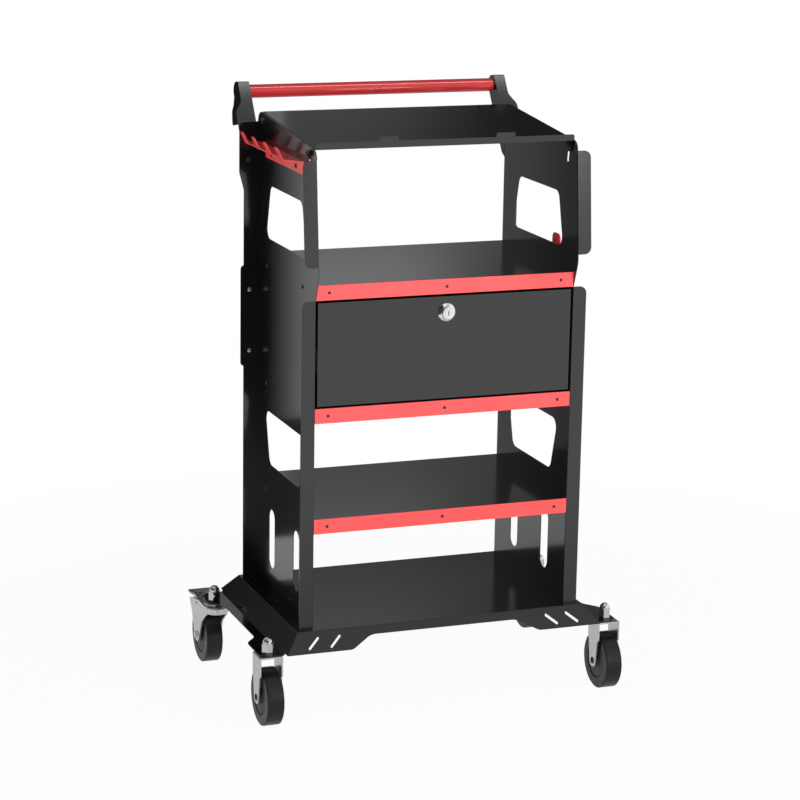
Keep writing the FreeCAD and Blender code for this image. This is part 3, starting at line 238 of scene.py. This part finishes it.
class Nodes:
    """Short hand for building a material's node tree."""

    def __init__(self, name):
        self.material = bpy.data.materials.new(name)
        self.material.use_nodes = True
        self.tree = self.material.node_tree
        self.shader = self.tree.nodes["Principled BSDF"]
        self.place = self.add("ShaderNodeTexCoord").outputs["Object"]

    def add(self, kind, **values):
        node = self.tree.nodes.new(kind)
        for key, value in values.items():
            setattr(node, key, value)
        return node

    def link(self, source, target):
        self.tree.links.new(source, target)

    def noise(self, scale, detail=2.0, stretch=None):
        node = self.add("ShaderNodeTexNoise")
        node.inputs["Scale"].default_value = scale
        node.inputs["Detail"].default_value = detail
        source = self.place
        if stretch:
            mapping = self.add("ShaderNodeMapping")
            mapping.inputs["Scale"].default_value = stretch
            self.link(source, mapping.inputs["Vector"])
            source = mapping.outputs["Vector"]
        self.link(source, node.inputs["Vector"])
        return node.outputs["Fac"]

    def between(self, fac, low, high):
        node = self.add("ShaderNodeMapRange")
        node.inputs["From Min"].default_value = NOISE_LOW
        node.inputs["From Max"].default_value = NOISE_HIGH
        node.inputs["To Min"].default_value = low
        node.inputs["To Max"].default_value = high
        self.link(fac, node.inputs["Value"])
        return node.outputs["Result"]

    def shades(self, fac, colour, spread):
        """Colour that wanders by spread either side of the given one."""
        node = self.add("ShaderNodeValToRGB")
        stops = node.color_ramp.elements
        stops[0].position, stops[1].position = NOISE_LOW, NOISE_HIGH
        stops[0].color = [c * (1 - spread) for c in colour] + [1]
        stops[1].color = [c * (1 + spread) for c in colour] + [1]
        self.link(fac, node.inputs["Fac"])
        self.link(node.outputs["Color"], self.shader.inputs["Base Color"])

    def roughness(self, fac, low, high):
        self.link(self.between(fac, low, high), self.shader.inputs["Roughness"])

    def bump(self, fac, strength, distance):
        node = self.add("ShaderNodeBump")
        node.inputs["Strength"].default_value = strength
        node.inputs["Distance"].default_value = distance
        self.link(fac, node.inputs["Height"])
        self.link(node.outputs["Normal"], self.shader.inputs["Normal"])

    def set(self, **values):
        for name, value in values.items():
            self.shader.inputs[name.replace("_", " ")].default_value = value


def powder_coat(name, colour, low, high, gloss, peel):
    """Baked powder coat: fine orange peel, slightly uneven gloss."""
    n = Nodes(name)
    n.shades(n.noise(scale=14.0, detail=5.0), colour, spread=0.10)
    n.roughness(n.noise(scale=420.0, detail=3.0), low=low, high=high)
    n.bump(n.noise(scale=700.0, detail=2.0), strength=peel, distance=0.0001)
    n.set(Specular_IOR_Level=gloss)
    return n.material


def zinc_plate(name, colour):
    """Bright zinc: faint crystal patches and drawn lines."""
    n = Nodes(name)
    n.shades(n.noise(scale=160.0, detail=3.0), colour, spread=0.08)
    n.roughness(n.noise(scale=90.0, detail=3.0, stretch=(1.0, 1.0, 9.0)), low=0.22, high=0.34)
    n.bump(n.noise(scale=900.0, detail=2.0, stretch=(1.0, 1.0, 0.1)), strength=0.08, distance=0.00008)
    n.set(Metallic=1.0)
    return n.material


def bright_chrome(name, colour):
    n = Nodes(name)
    n.shades(n.noise(scale=120.0, detail=2.0), colour, spread=0.03)
    n.roughness(n.noise(scale=240.0, detail=2.0), low=0.04, high=0.10)
    n.set(Metallic=1.0)
    return n.material


def black_oxide(name):
    n = Nodes(name)
    n.shades(n.noise(scale=300.0, detail=2.0), OXIDE_BLACK, spread=0.25)
    n.roughness(n.noise(scale=400.0, detail=2.0), low=0.30, high=0.45)
    n.bump(n.noise(scale=1500.0, detail=2.0), strength=0.10, distance=0.00005)
    n.set(Metallic=0.6)
    return n.material


def wheel_rubber(name, colour):
    """Hard rubber, dusted a little and finely pitted."""
    n = Nodes(name)
    n.shades(n.noise(scale=38.0, detail=4.0), colour, spread=0.30)
    n.roughness(n.noise(scale=120.0, detail=3.0), low=0.28, high=0.38)
    n.bump(n.noise(scale=1100.0, detail=3.0), strength=0.10, distance=0.0001)
    n.set(Specular_IOR_Level=0.38)
    return n.material


def moulded_plastic(name):
    n = Nodes(name)
    n.shades(n.noise(scale=60.0, detail=3.0), PLASTIC_BLACK, spread=0.20)
    n.roughness(n.noise(scale=200.0, detail=2.0), low=0.40, high=0.52)
    n.bump(n.noise(scale=1400.0, detail=2.0), strength=0.14, distance=0.00006)
    return n.material


FINISHES = {}


def make_finishes():
    finish = settings()[0]
    FINISHES["black_coat"] = powder_coat(
        "black powder coat", finish.black, low=0.12, high=0.17, gloss=0.75, peel=0.03)
    FINISHES["red_coat"] = powder_coat(
        "red powder coat", finish.red, low=0.20, high=0.28, gloss=0.5, peel=0.06)
    FINISHES["tube_red"] = powder_coat(
        "gloss red paint", finish.tube_red, low=0.06, high=0.09, gloss=0.6, peel=0.02)
    FINISHES["zinc"] = zinc_plate("bright zinc", finish.zinc)
    FINISHES["chrome"] = bright_chrome("bright chrome", finish.chrome)
    FINISHES["nut_steel"] = bright_chrome("nut plating", finish.zinc)
    FINISHES["dark_steel"] = black_oxide("black oxide")
    FINISHES["tyre"] = wheel_rubber("wheel rubber", finish.rubber)
    FINISHES["black_plastic"] = moulded_plastic("moulded plastic")


# Pieces

def slot_of(node):
    rows = frame["record"]["subparts"]
    return next(row["material_slot"] for row in rows if row["node"] == node)


def body_of(node):
    bodies = frame["record"]["behaviour"]["bodies"]
    return next(body for body, nodes in bodies.items() if node in nodes)


def soften(mesh):
    """Smooth shading that stays sharp at real corners."""
    for polygon in mesh.polygons:
        polygon.use_smooth = True
    mesh.set_sharp_from_angle(angle=SHARP)


def piece(name, mesh, body, slot, *replaced, finish=None):
    """Object at the origin that rides on a body and takes its slot's finish, or the one named."""
    obj = bpy.data.objects.new(name, mesh)
    bpy.context.scene.collection.objects.link(obj)
    mesh.materials.clear()
    mesh.materials.append(FINISHES[finish or slot])
    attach(obj, body)
    if replaced:
        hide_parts(*replaced)
    return obj


def mesh_from(name, bm):
    bmesh.ops.recalc_face_normals(bm, faces=bm.faces)
    mesh = bpy.data.meshes.new(name)
    bm.to_mesh(mesh)
    bm.free()
    soften(mesh)
    return mesh


def round_edges(obj, width, limit, segments):
    """Live bevel on edges that are sharp (ANGLE), or by the weight that each edge has (WEIGHT)."""
    bevel = obj.modifiers.new("edges", "BEVEL")
    bevel.width = width
    bevel.segments = segments
    bevel.limit_method = limit
    bevel.angle_limit = SHARP
    even = obj.modifiers.new("flat faces", "WEIGHTED_NORMAL")
    even.keep_sharp = True


def merged(node):
    """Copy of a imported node's mesh with its triangles joined."""
    bm = bmesh.new()
    bm.from_mesh(frame["nodes"][node].data)
    bmesh.ops.remove_doubles(bm, verts=bm.verts, dist=MERGE)
    bmesh.ops.dissolve_limit(bm, angle_limit=COPLANAR, verts=bm.verts, edges=bm.edges)
    return bm


def dressed(node, name, width, folds=None, radius=0.0, finish=None):
    """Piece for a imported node, with rounded edges and a wider radius on the edges that folds finds."""
    bm = merged(node)
    if folds:
        weight = bm.edges.layers.float.new("bevel_weight_edge")
        for edge in bm.edges:
            if len(edge.link_faces) == 2 and edge.calc_face_angle() > SHARP:
                edge[weight] = width / radius
        for edge in folds(bm):
            edge[weight] = 1.0
    mesh = bpy.data.meshes.new(name)
    bm.to_mesh(mesh)
    bm.free()
    soften(mesh)
    obj = piece(name, mesh, body_of(node), slot_of(node), node, finish=finish)
    if folds:
        round_edges(obj, radius, "WEIGHT", FOLD_STEPS)
    else:
        round_edges(obj, width, "ANGLE", EDGE_STEPS)


def islands(node):
    """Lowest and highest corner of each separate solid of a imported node, from left to right."""
    bm, boxes = merged(node), []
    left = set(bm.verts)
    while left:
        found, waiting = set(), [left.pop()]
        while waiting:
            vert = waiting.pop()
            found.add(vert)
            for link in vert.link_edges:
                other = link.other_vert(vert)
                if other in left:
                    left.remove(other)
                    waiting.append(other)
        axes = list(zip(*(vert.co for vert in found)))
        boxes.append((Vector([min(axis) for axis in axes]), Vector([max(axis) for axis in axes])))
    bm.free()
    return sorted(boxes, key=lambda box: tuple(box[0]))


def rounded(corners, steps=6):
    """Points of a closed outline with corners (u, v, radius) turned into arcs."""
    points = []
    for i, (u, v, radius) in enumerate(corners):
        here = Vector((u, v))
        back = (Vector(corners[i - 1][:2]) - here).normalized()
        ahead = (Vector(corners[(i + 1) % len(corners)][:2]) - here).normalized()
        if radius == 0:
            points.append(here)
            continue
        half = back.angle(ahead) / 2
        inward = (back + ahead).normalized()
        centre = here + inward * (radius / math.sin(half))
        start = here + back * (radius / math.tan(half)) - centre
        end = here + ahead * (radius / math.tan(half)) - centre
        sweep = start.angle_signed(end)
        for k in range(steps + 1):
            turn = -sweep * k / steps
            points.append(centre + Matrix.Rotation(turn, 2) @ start)
    return points


def lathe(name, profile, centre, axis="X"):
    """Turned mesh from closed (along, radius) points about an axis through centre."""
    steps = settings()[2].lathe_steps
    bm = bmesh.new()
    rings = []
    for k in range(steps):
        turn = 2 * math.pi * k / steps
        ring = []
        for along, radius in profile:
            a, b = radius * math.cos(turn), radius * math.sin(turn)
            offset = {"X": (along, a, b), "Y": (a, along, b), "Z": (a, b, along)}[axis]
            ring.append(bm.verts.new(Vector(centre) + Vector(offset)))
        rings.append(ring)
    count = len(profile)
    for k in range(steps):
        this, following = rings[k], rings[(k + 1) % steps]
        for i in range(count):
            j = (i + 1) % count
            bm.faces.new((this[i], this[j], following[j], following[i]))
    bmesh.ops.remove_doubles(bm, verts=bm.verts, dist=LATHE_MERGE)
    return mesh_from(name, bm)


def middle(node):
    low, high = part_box(node)
    return (low + high) / 2


def turned_points(half):
    """Closed profile in metres of a wheel piece, from the right half of it in millimetres."""
    whole = list(half) + [(-along, radius, corner) for along, radius, corner in reversed(half)]
    return rounded([[value * MM for value in corner] for corner in whole])


# Geometry Nodes for what repeats

class Tree:
    """Short hand for building a geometry node tree."""

    def __init__(self, name):
        self.tree = bpy.data.node_groups.new(name, "GeometryNodeTree")
        self.face = self.tree.interface
        self.face.new_socket("Geometry", in_out="INPUT", socket_type="NodeSocketGeometry")
        self.face.new_socket("Geometry", in_out="OUTPUT", socket_type="NodeSocketGeometry")
        self.sockets = {}
        self.start = self.tree.nodes.new("NodeGroupInput")
        self.end = self.tree.nodes.new("NodeGroupOutput")

    def size(self, name, value, kind="NodeSocketFloat"):
        socket = self.face.new_socket(name, in_out="INPUT", socket_type=kind)
        if value is not None:
            socket.default_value = value
        self.sockets[name] = socket.identifier
        return self.start.outputs[name]

    def add(self, kind, inputs=None, **values):
        node = self.tree.nodes.new(kind)
        for key, value in values.items():
            setattr(node, key, value)
        for key, value in (inputs or {}).items():
            if isinstance(value, bpy.types.NodeSocket):
                self.tree.links.new(value, node.inputs[key])
            else:
                node.inputs[key].default_value = value
        return node

    def finish(self, geometry):
        """Realizes the instances and gives them the tree's material."""
        finish = self.size("Finish", None, "NodeSocketMaterial")
        whole = self.add("GeometryNodeRealizeInstances", {"Geometry": geometry})
        dress = self.add("GeometryNodeSetMaterial", {"Geometry": whole.outputs[0], "Material": finish})
        self.tree.links.new(dress.outputs[0], self.end.inputs[0])


def screw_tree():
    """A screw on each point, along the point's way: domed head with a hexagon socket, and a shank."""
    t = Tree("button head screws")
    radius = t.size("Head Radius", 4.0 * MM)
    height = t.size("Head Height", 2.0 * MM)
    socket = t.size("Socket Radius", 1.6 * MM)
    shank = t.size("Shank Radius", 2.5 * MM)
    length = t.size("Shank Length", 6.0 * MM)
    ball = t.add("GeometryNodeMeshUVSphere", {"Segments": 28, "Rings": 14, "Radius": 1.0})
    spread = t.add("ShaderNodeCombineXYZ", {"X": radius, "Y": radius, "Z": height})
    dome = t.add("GeometryNodeTransform", {"Geometry": ball.outputs[0], "Scale": spread.outputs[0]})
    hexagon = t.add("GeometryNodeMeshCylinder", {
        "Vertices": 6, "Side Segments": 1, "Fill Segments": 1, "Radius": socket, "Depth": height})
    lift = t.add("ShaderNodeCombineXYZ", {"Z": height})
    raised = t.add("GeometryNodeTransform", {
        "Geometry": hexagon.outputs[0], "Translation": lift.outputs[0]})
    # A block four head radii wide, with its top at the seat, leaves the upper half of the dome
    wide = t.add("ShaderNodeMath", {0: radius, 1: 4.0}, operation="MULTIPLY")
    below = t.add("ShaderNodeMath", {0: radius, 1: -2.0}, operation="MULTIPLY")
    cube = t.add("GeometryNodeMeshCube")
    block = t.add("ShaderNodeCombineXYZ", {axis: wide.outputs[0] for axis in "XYZ"})
    t.tree.links.new(block.outputs[0], cube.inputs["Size"])
    drop = t.add("ShaderNodeCombineXYZ", {"Z": below.outputs[0]})
    lower = t.add("GeometryNodeTransform", {"Geometry": cube.outputs[0], "Translation": drop.outputs[0]})
    head = t.add("GeometryNodeMeshBoolean", {"Mesh 1": dome.outputs[0], "Mesh 2": lower.outputs[0]})
    t.tree.links.new(raised.outputs[0], head.inputs["Mesh 2"])
    rod = t.add("GeometryNodeMeshCylinder", {
        "Vertices": 20, "Side Segments": 1, "Fill Segments": 1, "Radius": shank, "Depth": length})
    half = t.add("ShaderNodeMath", {0: length, 1: -0.5}, operation="MULTIPLY")
    sink = t.add("ShaderNodeCombineXYZ", {"Z": half.outputs[0]})
    sunk = t.add("GeometryNodeTransform", {"Geometry": rod.outputs[0], "Translation": sink.outputs[0]})
    whole = t.add("GeometryNodeJoinGeometry", {"Geometry": head.outputs[0]})
    t.tree.links.new(sunk.outputs[0], whole.inputs["Geometry"])
    way = t.add("GeometryNodeInputNamedAttribute", {"Name": "way"}, data_type="FLOAT_VECTOR")
    turn = t.add("FunctionNodeAlignRotationToVector", {"Vector": way.outputs[0]}, axis="Z")
    points = t.add("GeometryNodeMeshToPoints", {"Mesh": t.start.outputs[0]})
    placed = t.add("GeometryNodeInstanceOnPoints", {
        "Points": points.outputs[0], "Instance": whole.outputs[0], "Rotation": turn.outputs[0]})
    t.finish(placed.outputs[0])
    return t


def grown(tree, name, points, ways, slot, **sizes):
    """Plain mesh that a tree grows on points; ways give each point's direction."""
    seed = bpy.data.meshes.new(name + "_points")
    seed.from_pydata([tuple(p) for p in points], [], [])
    layer = seed.attributes.new("way", "FLOAT_VECTOR", "POINT")
    layer.data.foreach_set("vector", [c for way in ways for c in way])
    holder = bpy.data.objects.new(name + "_points", seed)
    bpy.context.scene.collection.objects.link(holder)
    modifier = holder.modifiers.new("grow", "NODES")
    modifier.node_group = tree.tree
    modifier[tree.sockets["Finish"]] = FINISHES[slot]
    for key, value in sizes.items():
        modifier[tree.sockets[key.replace("_", " ")]] = value
    bpy.context.view_layer.update()
    evaluated = holder.evaluated_get(bpy.context.evaluated_depsgraph_get())
    mesh = bpy.data.meshes.new_from_object(evaluated)
    mesh.name = name
    holder.modifiers.clear()
    bpy.data.objects.remove(holder)
    soften(mesh)
    return mesh


# Operators, one for each piece or group of like pieces

class CART_OT_stage(bpy.types.Operator):
    """Set the pale floor, the studio light and the camera"""

    bl_idname = "cart.stage"
    bl_label = "Stage"

    def execute(self, context):
        stage = settings()[1]
        scene = context.scene
        scene.view_settings.view_transform = "Standard"
        self.room(scene, stage)
        self.floor(stage)
        self.flats()
        self.lamps()
        self.camera(scene, stage)
        return {"FINISHED"}

    def seen(self, tree):
        """1 for the rays that see the white background: camera, glossy and transmission rays."""
        rays = tree.nodes.new("ShaderNodeLightPath")
        kinds = [rays.outputs["Is %s Ray" % kind] for kind in ("Camera", "Glossy", "Transmission")]
        seen = kinds[0]
        for kind in kinds[1:]:
            either = tree.nodes.new("ShaderNodeMath")
            either.operation = "MAXIMUM"
            tree.links.new(seen, either.inputs[0])
            tree.links.new(kind, either.inputs[1])
            seen = either.outputs[0]
        return seen

    def room(self, scene, stage):
        """White where it is seen, and a soft room whose light dims upwards and towards the rear."""
        world = bpy.data.worlds.new("studio")
        world.use_nodes = True
        scene.world = world
        tree = world.node_tree
        background = tree.nodes["Background"]
        where = tree.nodes.new("ShaderNodeTexCoord")
        away = tree.nodes.new("ShaderNodeVectorMath")
        away.operation = "DOT_PRODUCT"
        away.inputs[1].default_value = ROOM_AWAY
        tree.links.new(where.outputs["Generated"], away.inputs[0])
        fade = tree.nodes.new("ShaderNodeMapRange")
        fade.inputs["From Min"].default_value = ROOM_FADE[0]
        fade.inputs["From Max"].default_value = ROOM_FADE[1]
        fade.inputs["To Min"].default_value = stage.front_light
        fade.inputs["To Max"].default_value = stage.rear_light
        tree.links.new(away.outputs["Value"], fade.inputs["Value"])
        seen = self.seen(tree)
        choose = tree.nodes.new("ShaderNodeMix")
        tree.links.new(seen, choose.inputs["Factor"])
        tree.links.new(fade.outputs["Result"], choose.inputs["A"])
        choose.inputs["B"].default_value = 1.0
        tree.links.new(choose.outputs["Result"], background.inputs["Strength"])
        background.inputs["Color"].default_value = (1, 1, 1, 1)

    def floor(self, stage):
        """Round pale floor that fades into the white room at its rim, its middle dimmed in mirrors as a
        painted shadow.
        """
        bm = bmesh.new()
        bmesh.ops.create_circle(bm, cap_ends=True, segments=FLOOR_STEPS, radius=stage.floor_radius)
        mesh = bpy.data.meshes.new("floor")
        bm.to_mesh(mesh)
        bm.free()
        n = Nodes("pale floor")
        n.shades(n.noise(scale=3.0, detail=3.0), (FLOOR_GREY,) * 3, spread=0.01)
        n.set(Roughness=0.9)
        reach = n.add("ShaderNodeVectorMath", operation="LENGTH")
        n.link(n.place, reach.inputs[0])
        rays = n.add("ShaderNodeLightPath").outputs
        direct = self.graded(n, reach.outputs["Value"], stage.floor_radius, *FLOOR_SEEN)
        # Mirrors see the floor's middle dimmed to stand in for the cart's shadow: a painted shadow
        mirrored = self.graded(n, reach.outputs["Value"], stage.floor_radius, *FLOOR_MIRRORED_SHADOW)
        share = n.add("ShaderNodeMix")
        n.link(rays["Is Camera Ray"], share.inputs["Factor"])
        n.link(self.seen(n.tree), share.inputs["A"])
        n.link(direct, share.inputs["B"])
        level = n.add("ShaderNodeMath", operation="MAXIMUM")
        n.link(rays["Is Camera Ray"], level.inputs[0])
        n.link(mirrored, level.inputs[1])
        glow = n.add("ShaderNodeEmission")
        n.link(level.outputs[0], glow.inputs["Strength"])
        mix = n.add("ShaderNodeMixShader")
        n.link(share.outputs["Result"], mix.inputs["Fac"])
        n.link(n.shader.outputs[0], mix.inputs[1])
        n.link(glow.outputs[0], mix.inputs[2])
        n.link(mix.outputs[0], n.tree.nodes["Material Output"].inputs["Surface"])
        mesh.materials.append(n.material)
        floor = bpy.data.objects.new("floor", mesh)
        bpy.context.scene.collection.objects.link(floor)

    def graded(self, n, reach, radius, low, start):
        """A value that is low as far as start, a part of the floor's radius, and 1 at the rim."""
        rim = n.add("ShaderNodeMapRange")
        rim.inputs["From Min"].default_value = start * radius
        rim.inputs["From Max"].default_value = FLOOR_RIM * radius
        rim.inputs["To Min"].default_value = low
        n.link(reach, rim.inputs["Value"])
        return rim.outputs["Result"]

    def flat(self, name, corners, axis, stops):
        """Grey studio flat that only reflections see; stops give its glow at places along an axis."""
        name += "_flat"
        mesh = bpy.data.meshes.new(name)
        mesh.from_pydata(corners, [], [(0, 1, 2, 3)])
        n = Nodes(name)
        split = n.add("ShaderNodeSeparateXYZ")
        n.link(n.place, split.inputs[0])
        first, last = stops[0][0], stops[-1][0]
        run = n.add("ShaderNodeMapRange")
        run.inputs["From Min"].default_value = first
        run.inputs["From Max"].default_value = last
        n.link(split.outputs[axis], run.inputs["Value"])
        ramp = n.add("ShaderNodeValToRGB")
        ramp.color_ramp.interpolation = "EASE"
        for place, _ in stops[1:-1]:
            ramp.color_ramp.elements.new((place - first) / (last - first))
        for element, (_, level) in zip(ramp.color_ramp.elements, stops):
            element.color = (level, level, level, 1)
        n.link(run.outputs["Result"], ramp.inputs["Fac"])
        glow = n.add("ShaderNodeEmission")
        n.link(ramp.outputs["Color"], glow.inputs["Color"])
        n.link(glow.outputs[0], n.tree.nodes["Material Output"].inputs["Surface"])
        mesh.materials.append(n.material)
        obj = bpy.data.objects.new(name, mesh)
        bpy.context.scene.collection.objects.link(obj)
        obj.visible_camera = obj.visible_diffuse = obj.visible_transmission = obj.visible_shadow = False

    def flats(self):
        """Flats round the cart, darker to the left and behind, and two strips that gleam in the tube."""
        for axes, rows in (("XZY", UPRIGHT_FLATS), ("XYZ", LEVEL_FLATS), ("YZX", SIDE_FLATS)):
            for name, plane, across, along, axis, stops in rows:
                corners = []
                for a, b in zip(across + across[::-1], (along[0], along[0], along[1], along[1])):
                    place = dict(zip(axes, (a, b, plane)))
                    corners.append((place["X"], place["Y"], place["Z"]))
                self.flat(name, corners, axis, stops)

    def lamps(self):
        """Softboxes: key from the front right and fill from the front left."""
        for name, place, size, power in LAMPS:
            lamp = bpy.data.lights.new(name, "AREA")
            lamp.size = size
            lamp.energy = power
            obj = bpy.data.objects.new(name, lamp)
            obj.location = place
            obj.rotation_euler = (Vector(LAMP_AIM) - Vector(place)).to_track_quat("-Z", "Y").to_euler()
            obj.visible_camera = obj.visible_glossy = False
            bpy.context.scene.collection.objects.link(obj)

    def camera(self, scene, stage):
        data = bpy.data.cameras.new("camera")
        data.sensor_width = SENSOR
        data.lens = stage.lens
        data.clip_end = VIEW_REACH
        camera = bpy.data.objects.new("camera", data)
        upright = Matrix.Rotation(-stage.yaw, 4, "Z") @ Matrix.Rotation(math.pi / 2 - stage.pitch, 4, "X")
        camera.matrix_world = Matrix.Translation(stage.eye) @ upright @ Matrix.Rotation(stage.roll, 4, "Z")
        scene.collection.objects.link(camera)
        scene.camera = camera


class CART_OT_finishes(bpy.types.Operator):
    """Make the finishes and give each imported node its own"""

    bl_idname = "cart.finishes"
    bl_label = "Finishes"

    def execute(self, context):
        make_finishes()
        for node, obj in frame["nodes"].items():
            obj.data.materials.clear()
            obj.data.materials.append(FINISHES[slot_of(node)])
            soften(obj.data)
        return {"FINISHED"}


class CART_OT_sheet_metal(bpy.types.Operator):
    """Dress the black sheet metal with rounded folds and cut edges"""

    bl_idname = "cart.sheet_metal"
    bl_label = "Sheet metal"

    def execute(self, context):
        finish = settings()[0]
        for node in SHEET_NODES:
            folds = self.folds if node in FOLDED_NODES else None
            dressed(node, node + "_sheet", finish.sheet_edge, folds, finish.sheet_fold)
        return {"FINISHED"}

    def folds(self, bm):
        """Outer edges of the long folds between two broad faces."""
        return [edge for edge in bm.edges if len(edge.link_faces) == 2 and edge.is_convex
                and edge.calc_length() > FOLD_LENGTH and edge.calc_face_angle() > FOLD_ANGLE
                and min(face.calc_area() for face in edge.link_faces) > FOLD_AREA]


class CART_OT_red_metal(bpy.types.Operator):
    """Dress the red trims and hooks"""

    bl_idname = "cart.red_metal"
    bl_label = "Red metal"

    def execute(self, context):
        width = settings()[0].sheet_edge
        for node in RED_NODES:
            dressed(node, node + "_strap", width)
        return {"FINISHED"}


class CART_OT_handle(bpy.types.Operator):
    """Turn the red handle tube"""

    bl_idname = "cart.handle"
    bl_label = "Handle tube"

    def execute(self, context):
        low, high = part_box("handle_tube")
        half, radius = (high.x - low.x) / 2, (high.z - low.z) / 2
        bore, edge = radius - TUBE_WALL, TUBE_EDGE
        profile = rounded([(-half, bore, 0), (half, bore, 0), (half, radius, edge), (-half, radius, edge)])
        mesh = lathe("handle_tube_round", profile, middle("handle_tube"))
        tube = piece("handle_tube_round", mesh, "frame", "red_coat", "handle_tube", finish="tube_red")
        # The tray's coat mirrors no red from the tube behind it
        tube.visible_glossy = False
        return {"FINISHED"}


class CART_OT_screws(bpy.types.Operator):
    """Grow the screws and rivets of the sheet metal"""

    bl_idname = "cart.screws"
    bl_label = "Screws"

    def execute(self, context):
        tree = screw_tree()
        for node, (facing, *sizes) in FASTENERS.items():
            self.grow(tree, node, node + "_turned", facing, islands(node), sizes, node)
        boxes = islands("handle_bolts")
        long_ones = [box for box in boxes if (box[1] - box[0]).x > TUBE_BOLT_LENGTH]
        short_ones = [box for box in boxes if box not in long_ones]
        node = "handle_bolts"
        self.grow(tree, node, "tube_bolts_turned", "out", long_ones, HANDLE_BOLTS["out"], node)
        self.grow(tree, node, "arm_bolts_turned", "front", short_ones, HANDLE_BOLTS["front"])
        return {"FINISHED"}

    def grow(self, tree, node, name, facing, boxes, sizes, *replaced):
        """Screws whose heads end where the solids do, all with the shank of the shortest solid."""
        head, height, socket, shank = (size * MM for size in sizes)
        points, ways, lengths = [], [], []
        for low, high in boxes:
            centre, half = (low + high) / 2, (high - low) / 2
            way = Vector(WAYS.get(facing) or (math.copysign(1, centre.x), 0, 0))
            reach = abs(half.dot(way))
            points.append(centre + way * (reach - height))
            ways.append(way)
            lengths.append(2 * reach - height)
        mesh = grown(tree, name, points, ways, slot_of(node), Head_Radius=head, Head_Height=height,
                     Socket_Radius=socket, Shank_Radius=shank, Shank_Length=min(lengths))
        piece(name, mesh, body_of(node), slot_of(node), *replaced)


class CART_OT_slides(bpy.types.Operator):
    """Dress the members of the slides"""

    bl_idname = "cart.slides"
    bl_label = "Slides"

    def execute(self, context):
        for node in SLIDE_NODES:
            dressed(node, node + "_channel", SLIDE_EDGE)
        return {"FINISHED"}


class CART_OT_lock(bpy.types.Operator):
    """Turn the lock's bezel and dress its plug, nut and cam"""

    bl_idname = "cart.lock"
    bl_label = "Lock"

    def execute(self, context):
        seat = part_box("drawer_front")[0].y
        centre = middle("lock_housing")
        profile = rounded([[value * MM for value in corner] for corner in LOCK_BEZEL])
        mesh = lathe("lock_bezel_turned", profile, (centre.x, seat, centre.z), "Y")
        piece("lock_bezel_turned", mesh, "drawer", slot_of("lock_housing"), "lock_housing")
        for node in ("lock_plug", "lock_nut", "lock_cam"):
            dressed(node, node + "_turned", LOCK_EDGE)
        return {"FINISHED"}


class CART_OT_wheels(bpy.types.Operator):
    """Turn the tyres and hubs of the casters"""

    bl_idname = "cart.wheels"
    bl_label = "Wheels"

    def execute(self, context):
        for end in ("front", "rear"):
            for side in SIDES:
                for kind, half in (("tyre", TYRE_HALF), ("hub", HUB_HALF)):
                    node = "%s_%s_%s" % (end, kind, side)
                    mesh = lathe(node + "_turned", turned_points(half), middle(node))
                    piece(node + "_turned", mesh, body_of(node), slot_of(node), node)
        return {"FINISHED"}


class CART_OT_casters(bpy.types.Operator):
    """Dress the forks, swivel heads, axles, nuts and brake pedals"""

    bl_idname = "cart.casters"
    bl_label = "Casters"

    def execute(self, context):
        width, radius = settings()[0].forged_edge, settings()[2].fork_bend
        for side in SIDES:
            dressed("front_fork_" + side, "front_fork_%s_bent" % side, 0.5 * width, self.bends, radius)
            for node in ("rear_fork_", "rear_brake_pedal_"):
                dressed(node + side, node + side + "_pressed", width)
            dressed("rear_pins_" + side, "rear_pins_%s_turned" % side, 0.5 * width)
        for node, finish in (
                ("swivel_heads", "zinc"), ("front_axles", "dark_steel"), ("stud_nuts", "nut_steel")):
            dressed(node, node + "_turned", 0.5 * width, finish=finish)
        return {"FINISHED"}

    def bends(self, bm):
        """The two upper outer edges, where the strap is bent over the wheel."""
        xs, top = [v.co.x for v in bm.verts], max(v.co.z for v in bm.verts)
        sides = (min(xs), max(xs))
        edges = [edge for edge in bm.edges if all(
            top - v.co.z < BEND_REACH and min(abs(v.co.x - x) for x in sides) < BEND_REACH
            for v in edge.verts)]
        return [edge for edge in edges if abs(edge.verts[0].co.x - edge.verts[1].co.x) < 2 * BEND_REACH]


OPERATORS = (
    CART_OT_finishes, CART_OT_sheet_metal, CART_OT_red_metal, CART_OT_handle, CART_OT_screws,
    CART_OT_slides, CART_OT_lock, CART_OT_wheels, CART_OT_casters, CART_OT_stage)


class CART_PT_sidebar(bpy.types.Panel):
    """Steps and sizes of the cart"""

    bl_idname = "CART_PT_sidebar"
    bl_label = "Diagnostic cart"
    bl_space_type = "VIEW_3D"
    bl_region_type = "UI"
    bl_category = "Cart"

    def draw(self, context):
        for operator in OPERATORS:
            self.layout.operator(operator.bl_idname)
        for group in settings():
            box = self.layout.box()
            for name in group.__annotations__:
                box.prop(group, name)


GROUPS = (("cart_finish", CartFinish), ("cart_stage", CartStage), ("cart_detail", CartDetail))


def register():
    for name, group in GROUPS:
        bpy.utils.register_class(group)
        setattr(bpy.types.Scene, name, bpy.props.PointerProperty(type=group))
    for operator in OPERATORS:
        bpy.utils.register_class(operator)
    bpy.utils.register_class(CART_PT_sidebar)


def unregister():
    bpy.utils.unregister_class(CART_PT_sidebar)
    for operator in reversed(OPERATORS):
        bpy.utils.unregister_class(operator)
    for name, group in reversed(GROUPS):
        delattr(bpy.types.Scene, name)
        bpy.utils.unregister_class(group)


def main():
    register()
    for operator in OPERATORS:
        space, call = operator.bl_idname.split(".")
        getattr(getattr(bpy.ops, space), call)()


if __name__ == "__main__":
    main()
